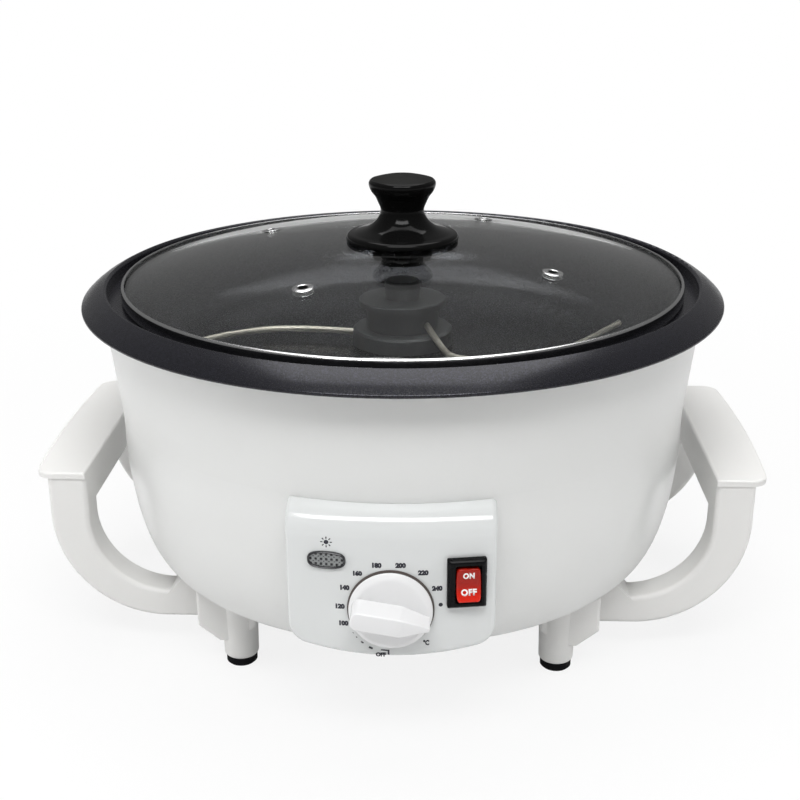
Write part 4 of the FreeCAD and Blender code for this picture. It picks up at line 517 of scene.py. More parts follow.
def lathe(name, outline, place, steps, degrees):
    """Turn an outline of (radius, height), which either starts and ends on the axis or is closed."""
    rings = [[(x, y, height) for x, y in ring_points(radius, steps if radius else 1)]
             for radius, height in outline]
    return skinned(name, rings, place, degrees, "joined" if outline[0][0] else "flat")


def bend(start, turn, stop, steps):
    """Points of a curve from start to stop that heads for turn on its way."""
    shares = [(step / steps, 1 - step / steps) for step in range(steps + 1)]
    return [start * rest ** 2 + turn * (2 * share * rest) + stop * share ** 2 for share, rest in shares]


def rounded(corner_points, radii, steps):
    """Outline through corners, each rounded by its radius; the first and last stay sharp."""
    outline = [corner_points[0]]
    for before, here, after, radius in zip(corner_points, corner_points[1:], corner_points[2:], radii):
        here = Vector(here)
        back = Vector(before) - here
        ahead = Vector(after) - here
        reach = min(radius, back.length * 0.49, ahead.length * 0.49)
        curve = bend(here + back.normalized() * reach, here, here + ahead.normalized() * reach, steps)
        outline += [tuple(point) for point in curve]
    return outline + [corner_points[-1]]


def upright(height):
    """Places for a turning about the roaster's axis, from a height in metres."""
    base = Vector((0, 0, height))
    return lambda point: base + point


def tilted(base, axis):
    """Places for a turning about an axis through base."""
    turn = Vector((0, 0, 1)).rotation_difference(axis).to_matrix()
    return lambda point: base + turn @ point


def on_panel(x, z, out):
    """A place on the panel's curved face: x along the face and z up in metres, out from it in metres."""
    turn = x / PANEL_FACE_R
    reach = PANEL_FACE_R + out
    return Vector((reach * math.sin(turn), PANEL_CENTRE_Y - reach * math.cos(turn), z))


def facing_panel(node, aside=0.0):
    """Places for a piece drawn as (right, up, out) in metres about a node's middle, facing off the panel.
    aside moves the piece to the right, in millimetres."""
    centre = middle(node)
    turn = math.asin(centre.x / PANEL_FACE_R) if abs(centre.x) > MM else 0.0
    right = Vector((math.cos(turn), math.sin(turn), 0))
    out = Vector((math.sin(turn), -math.cos(turn), 0))
    base = Vector((0, PANEL_CENTRE_Y, centre.z)) + out * PANEL_FACE_R
    return lambda point: base + right * (point[0] + aside * MM) + Vector((0, 0, point[1])) + out * point[2]


def written(text, height, width, weight, spacing=0.98):
    """Flat mesh of a short text, its middle at the origin, of a given height in millimetres.
    width stretches it, and weight makes its strokes bolder."""
    curve = bpy.data.curves.new("text", "FONT")
    curve.body = text
    curve.offset = weight
    curve.space_character = spacing
    curve.resolution_u = 4
    holder = placed("text", curve)
    bpy.context.view_layer.update()
    mesh = bpy.data.meshes.new_from_object(holder.evaluated_get(bpy.context.evaluated_depsgraph_get()))
    bpy.data.objects.remove(holder)
    bpy.data.curves.remove(curve)
    low_x, high_x = span(mesh, 0)
    low_y, high_y = span(mesh, 1)
    scale = height * MM / (high_y - low_y)
    shift = Matrix.Translation((-(low_x + high_x) / 2, -(low_y + high_y) / 2, 0))
    mesh.transform(Matrix.Diagonal((scale * width, scale, scale, 1)) @ shift)
    return mesh


def span(mesh, axis):
    """How far a mesh reaches along an axis."""
    values = [vertex.co[axis] for vertex in mesh.vertices]
    return min(values), max(values)


def printed(mesh, place):
    """Lay a flat mesh on a surface that place gives for its x and y, and give it the ink's thickness."""
    edit = bmesh.new()
    edit.from_mesh(mesh)
    bmesh.ops.remove_doubles(edit, verts=edit.verts, dist=1e-7)
    flat = {vertex: vertex.co.copy() for vertex in edit.verts}
    made = bmesh.ops.extrude_face_region(edit, geom=list(edit.faces))
    raised = [item for item in made["geom"] if isinstance(item, bmesh.types.BMVert)]
    for vertex in raised:
        vertex.co = place(vertex.co.x, vertex.co.y, INK_T * MM)
    for vertex, spot in flat.items():
        if vertex.is_valid:
            vertex.co = place(spot.x, spot.y, 0.0)
    edit.to_mesh(mesh)
    edit.free()
    return mesh


def moved(mesh, x, y, degrees=0.0):
    """Turn a flat mesh about the origin, then shift it by millimetres."""
    mesh.transform(Matrix.Translation((x * MM, y * MM, 0)) @ Matrix.Rotation(math.radians(degrees), 4, "Z"))
    return mesh


def flat_shape(outlines):
    """Flat mesh of closed outlines in millimetres."""
    points = []
    faces = []
    for outline in outlines:
        faces.append(list(range(len(points), len(points) + len(outline))))
        points += [(x * MM, y * MM, 0) for x, y in outline]
    return plain_mesh(points, faces)


def rounded_box_outline(width, height, radius, steps=6):
    """Closed outline of a rectangle with round corners, centred on the origin, in millimetres."""
    outline = []
    for side_x, side_y, start in ((1, 1, 0), (-1, 1, 90), (-1, -1, 180), (1, -1, 270)):
        for step in range(steps + 1):
            x, y = polar(radius, start + 90 * step / steps)
            outline.append((side_x * (width / 2 - radius) + x, side_y * (height / 2 - radius) + y))
    return outline


def at_height(outline, out):
    """A flat outline as a ring that stands out by so much."""
    return [(x, y, out) for x, y in outline]


# ---- the stirrer's wires ----
def rounded_way(turns):
    """Points from the first turn to the last along a line that rounds the turns between them."""
    joints = [(turn + following) / 2 for turn, following in zip(turns[1:-2], turns[2:-1])]
    way = [turns[0]]
    for start, turn, stop in zip([turns[0]] + joints, turns[1:-1], joints + [turns[-1]]):
        way += bend(start, turn, stop, WIRE_BEND_STEPS)[1:]
    return way


def bent_wire(turns, height):
    """Round wire over the pan's floor, in millimetres, whose free end is the last turn."""
    way = rounded_way([Vector((x, y, z + height)) for x, y, z in turns])
    headings = [after - before for before, after in zip([way[0]] + way, way[1:] + [way[-1]])]
    rings = []
    for spot, heading in zip(way, headings):
        aside = heading.cross(Vector((0, 0, 1))).normalized()
        upward = aside.cross(heading).normalized()
        rings.append([spot + aside * x + upward * y for x, y in ring_points(WIRE_R, WIRE_SIDES)])
    return skinned("wire", rings, Vector, 60)


def stirrer_wires():
    """The wire that comes down beside the hub and sweeps the rim, and the one that sweeps the middle."""
    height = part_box("stirrer_arms")[0].z / MM + WIRE_R
    return merged("wires", [bent_wire(OUTER_WIRE, height), bent_wire(INNER_WIRE, height)], 60)


# ---- the roaster's fine pieces ----
def grommet_stand(index):
    """Foot of a grommet on the glass's top, and the way that it stands out of the dome."""
    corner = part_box("glass_lid")[1]
    dome_r = (corner.x ** 2 + DOME_RISE ** 2) / (2 * DOME_RISE)
    x, y = polar(GROMMET_RING_R, GROMMET_DEG + 90 * index)
    out = Vector((x, y, math.sqrt(dome_r ** 2 - GROMMET_RING_R ** 2)))
    return Vector((0, 0, corner.z - dome_r)) + out, out.normalized()


def grommet_mesh(index):
    """Rolled steel grommet through the glass, standing square to the dome."""
    barrel, flange, thick, glass, play = 2.9, 4.7, 0.7, 4.0, 0.1
    bore = GROMMET_BORE_R
    low = -glass - play - thick
    outline = rounded([(bore, low + thick), (bore, low), (flange, low), (flange, low + thick),
                       (barrel, low + thick), (barrel, play), (flange, play), (flange, play + thick * 0.5),
                       (3.3, play + thick), (bore, play + thick), (bore, low + thick)],
                      [0.5, 0.3, 0.3, 0.1, 0.1, 0.15, 0.3, 0.5, 0.6], 3)[:-1]
    return lathe("grommet", outline, tilted(*grommet_stand(index)), 40, 50)


def paint_shade_in_bores(mesh, material):
    """Give the faces inside the grommets' bores a painted shade: a dark, dull steel finish."""
    mesh.materials.append(material)
    stands = [grommet_stand(index) for index in range(4)]
    for face in mesh.polygons:
        for base, out in stands:
            aside = face.center - base
            aside -= out * aside.dot(out)
            if aside.length < (GROMMET_BORE_R + 0.15) * MM:
                face.material_index = 1


def band_mesh(lip):
    """Steel band round the glass: a rolled channel with a full outer corner and a soft inner edge."""
    low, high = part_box("lid_band")
    out_r, bottom, top, wall = high.x / MM, low.z / MM, high.z / MM, 0.8
    in_r = out_r - lip
    outline = rounded([(in_r, top - wall), (in_r, top - 0.1), (out_r - 1.0, top), (out_r, top - 0.5),
                       (out_r, bottom + 1.0), (out_r - 0.9, bottom), (in_r, bottom), (in_r, bottom + wall),
                       (out_r - wall, bottom + wall), (out_r - wall, top - wall), (in_r, top - wall)],
                      [0.5, 1.2, 1.2, 0.9, 0.9, 0.2, 0.2, 0.1, 0.1], 5)[:-1]
    return lathe("band", outline, upright(0), 256, 50)


def knob_mesh():
    """Lid knob: disc foot with a rounded rim, hollow flare, waist, round cap and a dished dull top."""
    edge = (22.4, 2.9)
    foot = rounded([(0.0, 0.6), (25.2, -0.55), (26.0, -0.3), (26.0, 1.5), (24.9, 2.6), edge],
                   [0.4, 0.4, 1.2, 0.9], 4)[:-1]
    flare = curve_through([edge, (16.4, 5.0), (12.6, 7.9), (10.6, 10.9), (10.05, 13.1), (10.2, 14.5),
                           (11.0, 16.4), (12.5, 19.6), (14.2, 21.8), (15.2, 24.0), (15.4, 25.6),
                           (15.0, 26.6)], 8)
    cap = [(14.4, 27.15), (13.9, 27.3), (13.2, 27.5), (11.5, 27.95), (9.0, 28.55), (6.0, 29.1), (3.0, 29.45),
           (0.0, 29.55)]
    return lathe("knob", foot + flare + cap, upright(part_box("glass_lid")[1].z), 128, 60)


def curve_through(points, steps):
    """Smooth curve through points."""
    outline = []
    padded = [points[0]] + points + [points[-1]]
    for p0, p1, p2, p3 in zip(padded, padded[1:], padded[2:], padded[3:]):
        p0, p1, p2, p3 = (Vector(p) for p in (p0, p1, p2, p3))
        for step in range(steps):
            t = step / steps
            outline.append(tuple(0.5 * (p1 * 2 + (p2 - p0) * t + (p0 * 2 - p1 * 5 + p2 * 4 - p3) * t ** 2
                                        + (p1 * 3 - p0 - p2 * 3 + p3) * t ** 3)))
    outline.append(points[-1])
    return outline


def dial_place():
    """Places for a piece drawn about the temperature knob's axis, its pointer to the left."""
    face = Vector((0, PANEL_FACE_Y, middle("thermostat_shaft").z))
    turn = math.radians(POINTER_DEG - 180)
    right = Vector((math.cos(turn), 0, math.sin(turn)))
    up = Vector((-math.sin(turn), 0, math.cos(turn)))
    return lambda point: face + right * point[0] + up * point[1] + Vector((0, -point[2], 0))


def dial_disc():
    """Disc of the temperature knob, bevelled at its edge and a little dished."""
    outline = rounded([(0.0, 0.9), (DIAL_R - 0.3, 0.9), (DIAL_R, 1.2), (DIAL_R, 2.0), (14.4, 3.5),
                       (9.0, 3.45), (0.0, 3.4)], [0.2, 0.3, 0.5, 0.8, 3.0], 5)
    return lathe("disc", outline, dial_place(), DIAL_STEPS, 60)


def dial_shade_ring():
    """Dark ring behind the temperature knob, a painted shade: it stands where the gap between the knob and
    the panel is in shade.
    """
    outline = [(4.0, 0.04), (17.1, 0.04), (17.1, 0.3), (16.9, 0.4), (4.0, 0.4)]
    return lathe("seat", outline, dial_place(), DIAL_STEPS, 50)


def end_fall(x):
    """How far the grip's edges fall away, as a quarter circle, close to its ends."""
    inward = min(x - GRIP_LEFT, GRIP_RIGHT - x, GRIP_EDGE_R) / GRIP_EDGE_R
    return GRIP_EDGE_R * (1 - math.sqrt(1 - (1 - inward) ** 2))


def grip_taper(x):
    """0 along the parallel part of the grip, 1 at its tip."""
    return max(0.0, (x - GRIP_TAPER_FROM) / (GRIP_RIGHT - GRIP_TAPER_FROM))


def grip_half(x, half_width):
    """Half width of the grip along its length: a round end, a parallel part and a tapering tip."""
    half = half_width + (GRIP_TIP_HALF - half_width) * grip_taper(x)
    inward = min(x - GRIP_LEFT, GRIP_ROUND_R)
    return half - GRIP_ROUND_R + math.sqrt(GRIP_ROUND_R ** 2 - (GRIP_ROUND_R - inward) ** 2)


def dial_grip(half_width, out):
    """The knob's upright bar: flat sides and crest, round edges, its ends rounded at the disc's edge."""
    rings = []
    for station in range(GRIP_STATIONS + 1):
        x = GRIP_LEFT + (GRIP_RIGHT - GRIP_LEFT) * (0.5 - 0.5 * math.cos(math.pi * station / GRIP_STATIONS))
        edge = end_fall(x)
        half = grip_half(x, half_width) - edge * 0.4
        crest = out - edge - GRIP_TIP_DROP * grip_taper(x)
        radius = min(GRIP_EDGE_R, half * 0.8)
        ring = [(x, half + wider, low) for wider, low in GRIP_FLARE]
        for side, start in ((1, 0), (-1, 90)):
            for step in range(7):
                aside, rise = polar(radius, start + 15 * step)
                ring.append((x, side * (half - radius) + aside, crest - radius + rise))
        rings.append(ring + [(x, -half - wider, low) for wider, low in reversed(GRIP_FLARE)])
    return skinned("grip", rings, dial_place(), 50)


def rocker_out(z):
    """How far the rocker's face stands out of the panel at a height about its pivot, in millimetres."""
    lean = math.tan(math.radians(ROCKER_PRESS_DEG))
    return BEZEL_OUT + ROCKER_PROUD + lean * math.log(1 + math.exp(-z / ROCKER_BEND)) * ROCKER_BEND


def rocker_solid():
    """The rocker: barrel sides, round corners and edges, and rows across its bent face."""
    outline = []
    for x, z in divided(rounded_box_outline(2, 2, 0.2, 8), 0.12):
        outline.append((x * ROCKER_HALF_W * (1.0 - 0.09 * abs(z) ** 2.2), z * ROCKER_HALF_H))
    rings = [at_height(outline, ROCKER_BACK)]
    for inset, drop in ROCKER_EDGE:
        share_x = 1 - inset / ROCKER_HALF_W
        share_z = 1 - inset / ROCKER_HALF_H
        rings.append([(x * share_x, z * share_z, rocker_out(z * share_z) - drop) for x, z in outline])
    edge = rings[-1]
    for share in ROCKER_ROWS:
        rings.append([(x * share, z * share, rocker_out(z * share)) for x, z, _ in edge])
    return skinned("rocker", rings, facing_panel("switch_body", ROCKER_ASIDE), 40)


def bezel_mesh():
    """Switch body: bevelled bezel with a deep pocket, and its barrel and tabs behind the panel."""
    outer = rounded_box_outline(BEZEL_W, BEZEL_H, 0.6)
    well = [(x + ROCKER_ASIDE - BEZEL_ASIDE, z) for x, z in rounded_box_outline(WELL_W, WELL_H, 0.9)]

    def ring(outline, out, grow=0.0):
        return [(x * (1 + 2 * grow / BEZEL_W), z * (1 + 2 * grow / BEZEL_H), out) for x, z in outline]

    rings = [ring(outer, 0.02), ring(outer, BEZEL_OUT - 1.3), ring(outer, BEZEL_OUT - 1.05, -0.1),
             ring(outer, BEZEL_OUT - 0.15, -0.95), ring(outer, BEZEL_OUT, -1.2), ring(well, BEZEL_OUT, 0.3),
             ring(well, BEZEL_OUT - 0.1, 0.08), ring(well, BEZEL_OUT - 0.3), ring(well, WELL_FLOOR, -0.05)]
    place = facing_panel("switch_body")
    barrel = rounded_box_outline(BARREL_W, BARREL_H, 0.5, 3)
    solids = [skinned("bezel", rings, facing_panel("switch_body", BEZEL_ASIDE), 50),
              skinned("barrel", [at_height(barrel, out) for out in (0.0, BARREL_BACK)], place)]
    for rise in (-TAB_RISE, TAB_RISE):
        tab = [(x, z + rise) for x, z in rounded_box_outline(TAB_W, TAB_T, 0.2, 2)]
        solids.append(skinned("tab", [at_height(tab, out) for out in (BARREL_BACK, TAB_BACK)], place))
    return merged("bezel", solids, 50)


def divided(outline, longest):
    """The same closed outline with its long edges divided."""
    points = []
    for start, end in zip(outline, outline[1:] + outline[:1]):
        start, end = Vector(start), Vector(end)
        count = max(1, math.ceil((end - start).length / longest))
        points += [tuple(start.lerp(end, step / count)) for step in range(count)]
    return points


def oval(width, height):
    """Closed superellipse, in millimetres."""
    outline = []
    for x, z in ring_points(1, OVAL_STEPS):
        outline.append((math.copysign(abs(x) ** (2 / OVAL_POWER), x) * width / 2,
                        math.copysign(abs(z) ** (2 / OVAL_POWER), z) * height / 2))
    return outline


def lens_frame():
    """Dark rounded rim of the indicator, with a flange on the panel and a barrel through it."""
    rings = [at_height(oval(FRAME_W + 2 * grow, FRAME_H + 2 * grow), out) for grow, out in FRAME_RINGS]
    return skinned("frame", rings, facing_panel("indicator_lens"), 50, "joined")


def lens_pyramids():
    """Lens insert: rows of square pyramids inside the frame."""
    place = facing_panel("indicator_lens")
    half = PRISM_PITCH / 2
    plate = [at_height(oval(INSERT_W + grow, INSERT_H + grow), out) for grow, out in INSERT_RINGS]
    prisms = []
    for row in range(-2, 3):
        for column in range(-4, 5):
            x, z = column * PRISM_PITCH, row * PRISM_PITCH + PRISM_ROW_RISE
            if (abs(x) / PRISMS_HALF_W) ** OVAL_POWER + (abs(z) / PRISMS_HALF_H) ** OVAL_POWER > 0.95:
                continue
            foot = [(x - half, z - half), (x + half, z - half), (x + half, z + half), (x - half, z + half)]
            rings = [at_height(foot, PRISM_FOOT), [(x, z, PRISM_TIP)]]
            prisms.append(skinned("prism", rings, place, 5, "open"))
    return merged("prisms", prisms + [skinned("plate", plate, place)], 5)


def cross_screw(head_r, head_h, shank_r, shank_l, place):
    """Pan head screw with a cross recess, its head up and its seat at zero."""
    arm, half, depth = head_r * 0.52, head_r * 0.13, head_h * 0.75
    rings = [at_height(ring_points(radius, SCREW_STEPS), height)
             for radius, height in ((shank_r, -shank_l), (shank_r, 0.0), (head_r, 0.0))]
    for row in range(SCREW_ROWS):
        radius = head_r * (1 - row / SCREW_ROWS)
        height = head_h * (1 - (radius / head_r) ** 2.6 * 0.55)
        ring = []
        for x, y in ring_points(radius, SCREW_STEPS):
            inside = min(abs(x), abs(y)) < half and max(abs(x), abs(y)) < arm
            ring.append((x, y, height - depth if inside else height))
        rings.append(ring)
    rings.append([(0, 0, head_h * 0.2)])
    return skinned("screw", rings, place)


# ---- marks ----
def panel_marks(digit_height):
    """Numbers round the temperature knob, its OFF mark, dot, ticks and unit, and a lamp sign."""
    dial_z = middle("thermostat_shaft").z / MM
    lamp = middle("indicator_lens") / MM
    marks = []

    def mark(mesh, x, z, degrees=0.0):
        marks.append(moved(mesh, x, dial_z + z, degrees))

    for text, degrees, radius in DIAL_MARKS:
        mark(written(text, digit_height, 1.0, DIGIT_WEIGHT), *polar(radius, degrees))
    for text, width, (x, z, height) in (("OFF", 1.0, OFF_MARK), ("\u00b0C", 0.75, UNIT_MARK)):
        mark(written(text, height, width, DIGIT_WEIGHT * 0.75), x, z)
    x, z, radius = DOT_PLACE
    mark(flat_shape([ring_points(radius, DOT_STEPS)]), x, z)
    mark(flat_shape([OFF_CORNER]), 0, 0)
    for degrees, radius, half in TICKS:
        wide, high = 1.5 * half, 0.8 * half
        tick = flat_shape([[(-wide, -high), (wide, -high), (wide, high), (-wide, high)]])
        mark(tick, *polar(radius, degrees), degrees + 90)
    sign = [ring_points(LAMP_SIGN_R, DOT_STEPS)]
    for index in range(LAMP_SIGN_RAYS):
        turn = Matrix.Rotation(2 * math.pi * index / LAMP_SIGN_RAYS, 2)
        sign.append([tuple(turn @ Vector(point)) for point in LAMP_SIGN_RAY])
    marks.append(moved(flat_shape(sign), lamp.x, lamp.z + LAMP_SIGN_RISE))
    return printed(merged("panel_marks", marks), on_panel)


def switch_letters(letter_height):
    """ON and OFF, laid on the rocker's bent face."""
    place = facing_panel("switch_body", ROCKER_ASIDE)

    def on_face(x, z, out):
        return place(Vector((x, z, (rocker_out(z / MM) + 0.02) * MM + out)))

    letters = []
    for text, width, z, share in SWITCH_LETTERS:
        mesh = written(text, letter_height * share, width, LETTER_WEIGHT, LETTER_SPACING)
        letters.append(printed(moved(mesh, 0, z), on_face))
    return merged("rocker_letters", letters)


# ---- settings ----
def colour_setting(name, description, default):
    return bpy.props.FloatVectorProperty(name=name, description=description, default=default,
                                         subtype="COLOR", min=0, max=1)


def length_setting(name, description, default, least, most):
    return bpy.props.FloatProperty(name=name, description=description, default=default, min=least, max=most,
                                   unit="LENGTH", precision=5)


def angle_setting(name, description, degrees):
    return bpy.props.FloatProperty(name=name, description=description, default=math.radians(degrees),
                                   subtype="ANGLE")


class RoasterColours(bpy.types.PropertyGroup):
    enamel: colour_setting("Enamel", "Colour of the bowl", (0.72, 0.725, 0.715))
    panel: colour_setting("Panel", "Colour of the control panel", (0.68, 0.695, 0.692))
    handle: colour_setting("Handles", "Colour of the handles", (0.76, 0.755, 0.74))
    leg: colour_setting("Legs", "Colour of the legs", (0.76, 0.755, 0.74))
    coating: colour_setting("Coating", "Colour of the pan's coating", (0.012, 0.012, 0.015))
    glass: colour_setting("Glass", "Tint of the lid", (0.90, 0.915, 0.91))
    rocker: colour_setting("Rocker", "Colour of the switch's rocker", (0.46, 0.013, 0.005))
    dial: colour_setting("Dial", "Colour of the temperature knob", (0.78, 0.78, 0.785))
    ink: colour_setting("Ink", "Colour of the panel's marks", (0.018, 0.018, 0.028))


class RoasterSizes(bpy.types.PropertyGroup):
    digit_height: length_setting("Digit height", "Height of the numbers round the dial",
                                 0.00225, 0.001, 0.004)
    letter_height: length_setting("Letter height", "Height of OFF on the rocker", 0.0026, 0.001, 0.004)
    grip_width: length_setting("Grip width", "Width of the temperature knob's bar", 0.0076, 0.004, 0.012)
    band_lip: length_setting("Band lip", "Width of the lid band's top lip", 0.0015, 0.0012, 0.0032)


class RoasterStage(bpy.types.PropertyGroup):
    lens: bpy.props.FloatProperty(name="Lens", description="Focal length of the camera", default=57.02,
                                  unit="CAMERA", min=10, max=200)
    camera_place: bpy.props.FloatVectorProperty(name="Camera", description="Where the camera stands",
                                                subtype="TRANSLATION", unit="LENGTH",
                                                default=(0.02012, -0.57605, 0.3182))
    heading: angle_setting("Heading", "Turn of the camera to the left", 2.14)
    pitch: angle_setting("Pitch", "How far the camera looks down", 20.63)
    roll: angle_setting("Roll", "Tilt of the camera about its view", -0.21)
    floor: colour_setting("Floor", "Colour of the floor", (0.74, 0.74, 0.74))


# ---- operators ----
class ROASTER_OT_stage(bpy.types.Operator):
    """Camera, floor, world and soft studio lamps"""
    bl_idname = "roaster.stage"
    bl_label = "Stage"

    def execute(self, context):
        stage = context.scene.roaster_stage
        make_camera(stage)
        make_floor(stage)
        make_world()
        make_lamps()
        context.scene.view_settings.view_transform = "Standard"
        return {"FINISHED"}


def make_camera(stage):
    """Camera turned by its heading, pitch and roll."""
    data = bpy.data.cameras.new("camera")
    data.lens = stage.lens
    data.sensor_width = 36
    data.clip_start = 0.02
    camera = placed("camera", data)
    camera.location = stage.camera_place
    heading, pitch = stage.heading, stage.pitch
    right = Vector((math.cos(heading), math.sin(heading), 0))
    ahead = Vector((-right.y * math.cos(pitch), right.x * math.cos(pitch), -math.sin(pitch)))
    up = right.cross(ahead)
    level = right * math.cos(stage.roll) + up * math.sin(stage.roll)
    top = up * math.cos(stage.roll) - right * math.sin(stage.roll)
    camera.rotation_mode = "QUATERNION"
    camera.rotation_quaternion = Matrix((level, top, -ahead)).transposed().to_quaternion()
    bpy.context.scene.camera = camera


def seen_by_eye(made):
    """1 for camera and glass rays, less for mirror rays, 0 for the rays that light the object."""
    camera, mirror, glass = made.outputs("ShaderNodeLightPath", {}, "Is Camera Ray", "Is Glossy Ray",
                                         "Is Transmission Ray")
    return camera.math("MAXIMUM", glass).math("MAXIMUM", mirror * MIRROR_SHARE)


def make_floor(stage):
    """Pale floor that looks white to the eye and keeps the object's shadow."""
    made = Finish("pale_floor", Specular_IOR_Level=0.0, Roughness=0.9)
    made.set(Base_Color=made.shaded(made.noise(3, 2), stage.floor, 0.99))
    x, y = made.axes()[:2]
    near = ((x * x + y * y) ** 0.5).step(FLOOR_NEAR, FLOOR_FAR)
    weight = seen_by_eye(made) * (near * 0.15 + 0.85)
    glow = made.node("ShaderNodeEmission", {}, {"Strength": 1.0})
    plain = Value(made, made.shader.outputs[0])
    blend = made.node("ShaderNodeMixShader", {}, {"Fac": weight, 1: plain, 2: glow})
    made.feed(made.tree.nodes["Material Output"].inputs["Surface"], blend)
    reach = FLOOR_REACH / MM
    mesh = flat_shape([[(-reach, -reach), (reach, -reach), (reach, reach), (-reach, reach)]])
    mesh.materials.append(made.material)
    placed("floor", mesh)


class SkyFinish(Finish):
    """The studio's world, whose nodes are made as those of a finish are."""

    def __init__(self, world):
        self.tree = world.node_tree


def make_world():
    """White for the eye, and a weaker white light on the object."""
    world = bpy.data.worlds.new("studio")
    bpy.context.scene.world = world
    world.use_nodes = True
    made = SkyFinish(world)
    camera = made.node("ShaderNodeLightPath", {}, {}, "Is Camera Ray")
    sky = made.tree.nodes["Background"]
    sky.inputs["Color"].default_value = (1.0, 1.0, 1.0, 1.0)
    made.feed(sky.inputs["Strength"], camera * (1 - SKY_LIGHT) + SKY_LIGHT)


def make_lamps():
    """A broad lamp overhead, a long one high in front and two soft ones at the sides."""
    for name, place, size, power in LAMPS:
        data = bpy.data.lights.new(name, "AREA")
        data.shape = "RECTANGLE"
        data.size, data.size_y = size
        data.energy = power
        lamp = placed(name, data)
        lamp.visible_glossy = lamp.visible_transmission = "fill" not in name
        lamp.location = place
        lamp.rotation_mode = "QUATERNION"
        lamp.rotation_quaternion = (LAMPS_AIM - lamp.location).to_track_quat("-Z", "Y")


class ROASTER_OT_bowl(bpy.types.Operator):
    """Enamelled bowl with its plated bottom cover and screws"""
    bl_idname = "roaster.bowl"
    bl_label = "Bowl"

    def execute(self, context):
        dress(enamel(context.scene.roaster_colours.enamel), "body_shell")
        dress(zinc_plate("cover_zinc", ZINC, 0.30), "base_cover")
        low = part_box("base_cover")[0].z
        screws = []
        for index in range(4):
            x, y = polar(COVER_SCREW_RING_R, 90 * index + 45)
            screws.append(cross_screw(*COVER_SCREW, tilted(Vector((x, y, low)), DOWNWARD)))
        steel = plain_steel("screw_steel", BRIGHT_STEEL, 0.25)
        piece("cover_screw_heads", merged("cover_screws", screws, 35), steel, "base", "screw_steel",
              "cover_screws")
        return {"FINISHED"}


class ROASTER_OT_pan(bpy.types.Operator):
    """Flecked non-stick coating on the pan and its rim"""
    bl_idname = "roaster.pan"
    bl_label = "Pan"

    def execute(self, context):
        dress(pan_coating(context.scene.roaster_colours.coating), "inner_pan")
        return {"FINISHED"}


class ROASTER_OT_lid(bpy.types.Operator):
    """Glass lid with its steel band, grommets and knob"""
    bl_idname = "roaster.lid"
    bl_label = "Lid"

    def execute(self, context):
        dress(tempered_glass(context.scene.roaster_colours.glass), "glass_lid")
        bright = turned_steel("band_steel", BRIGHT_STEEL, 0.14)
        band = band_mesh(context.scene.roaster_sizes.band_lip / MM)
        piece("lid_band_rolled", band, bright, "lid", "lid_steel", "lid_band")
        steel = plain_steel("grommet_steel", (0.78, 0.78, 0.78), 0.12)
        grommets = merged("grommets", [grommet_mesh(index) for index in range(4)], 50)
        piece("vent_grommets", grommets, steel, "lid", "lid_steel", "vent_eyelets")
        # painted shade: the faces inside the bores get a dark, dull finish
        paint_shade_in_bores(grommets, plain_steel("bore_painted_shade", (0.05, 0.05, 0.05), 0.4))
        black = knob_phenolic((0.004, 0.004, 0.004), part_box("lid_knob")[1].z)
        piece("lid_knob_turned", knob_mesh(), black, "lid", "knob_black", "lid_knob")
        dress(black_moulding("collar_black", (0.014, 0.014, 0.014), 0.22), "lid_knob_collar")
        low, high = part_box("lid_knob_screw")
        seat = low.z + LID_SCREW_HEAD_H * MM
        screw = cross_screw(LID_SCREW_HEAD_R, LID_SCREW_HEAD_H, LID_SCREW_SHANK_R, (high.z - seat) / MM,
                            tilted(Vector((0, 0, seat)), DOWNWARD))
        steel = plain_steel("lid_screw_steel", BRIGHT_STEEL, 0.2)
        piece("lid_screw_crossed", screw, steel, "lid", "screw_steel", "lid_knob_screw")
        return {"FINISHED"}


class ROASTER_OT_stirrer(bpy.types.Operator):
    """Stirrer hub, its bent wires and the drive shaft"""
    bl_idname = "roaster.stirrer"
    bl_label = "Stirrer"

    def execute(self, context):
        dress(black_moulding("hub_grey", (0.058, 0.060, 0.062), 0.40, 900, 0.12), "stirrer_hub")
        steel = wire_steel((0.62, 0.58, 0.50))
        piece("stirrer_wires", stirrer_wires(), steel, "stirrer", "wire_steel", "stirrer_arms")
        dress(turned_steel("shaft_steel", (0.70, 0.70, 0.70), 0.2), "drive_shaft")
        dress(turned_steel("bush_brass", (0.60, 0.42, 0.18), 0.28), "shaft_bush")
        return {"FINISHED"}


class ROASTER_OT_panel(bpy.types.Operator):
    """Control panel and the marks printed on it"""
    bl_idname = "roaster.panel"
    bl_label = "Panel"

    def execute(self, context):
        colours = context.scene.roaster_colours
        dress(gloss_moulding("panel_white", colours.panel, 0.10), "control_housing")
        marks = panel_marks(context.scene.roaster_sizes.digit_height / MM)
        piece("panel_marks", marks, ink("panel_ink", colours.ink), "base", "switch_black")
        return {"FINISHED"}


class ROASTER_OT_dial(bpy.types.Operator):
    """Temperature knob, its thermostat and shaft"""
    bl_idname = "roaster.dial"
    bl_label = "Temperature knob"

    def execute(self, context):
        white = gloss_moulding("dial_white", context.scene.roaster_colours.dial, 0.20, 0.03)
        out = (PANEL_FACE_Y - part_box("temperature_knob")[0].y) / MM - 0.1
        grip = dial_grip(context.scene.roaster_sizes.grip_width / MM / 2, out)
        knob = merged("dial", [dial_disc(), grip], 50)
        piece("temperature_dial", knob, white, "dial", "dial_white", "temperature_knob")
        # painted shade: a dark ring where the gap behind the knob is in shade
        piece("dial_shade_ring", dial_shade_ring(), rubber("gap_shade_grey", (0.11, 0.095, 0.088)), "base", "switch_black")
        dress(plain_steel("thermostat_steel", BRIGHT_STEEL, 0.25), "thermostat_shaft", "thermostat_screws")
        dress(unglazed("thermostat_ceramic", CERAMIC), "thermostat_body")
        return {"FINISHED"}


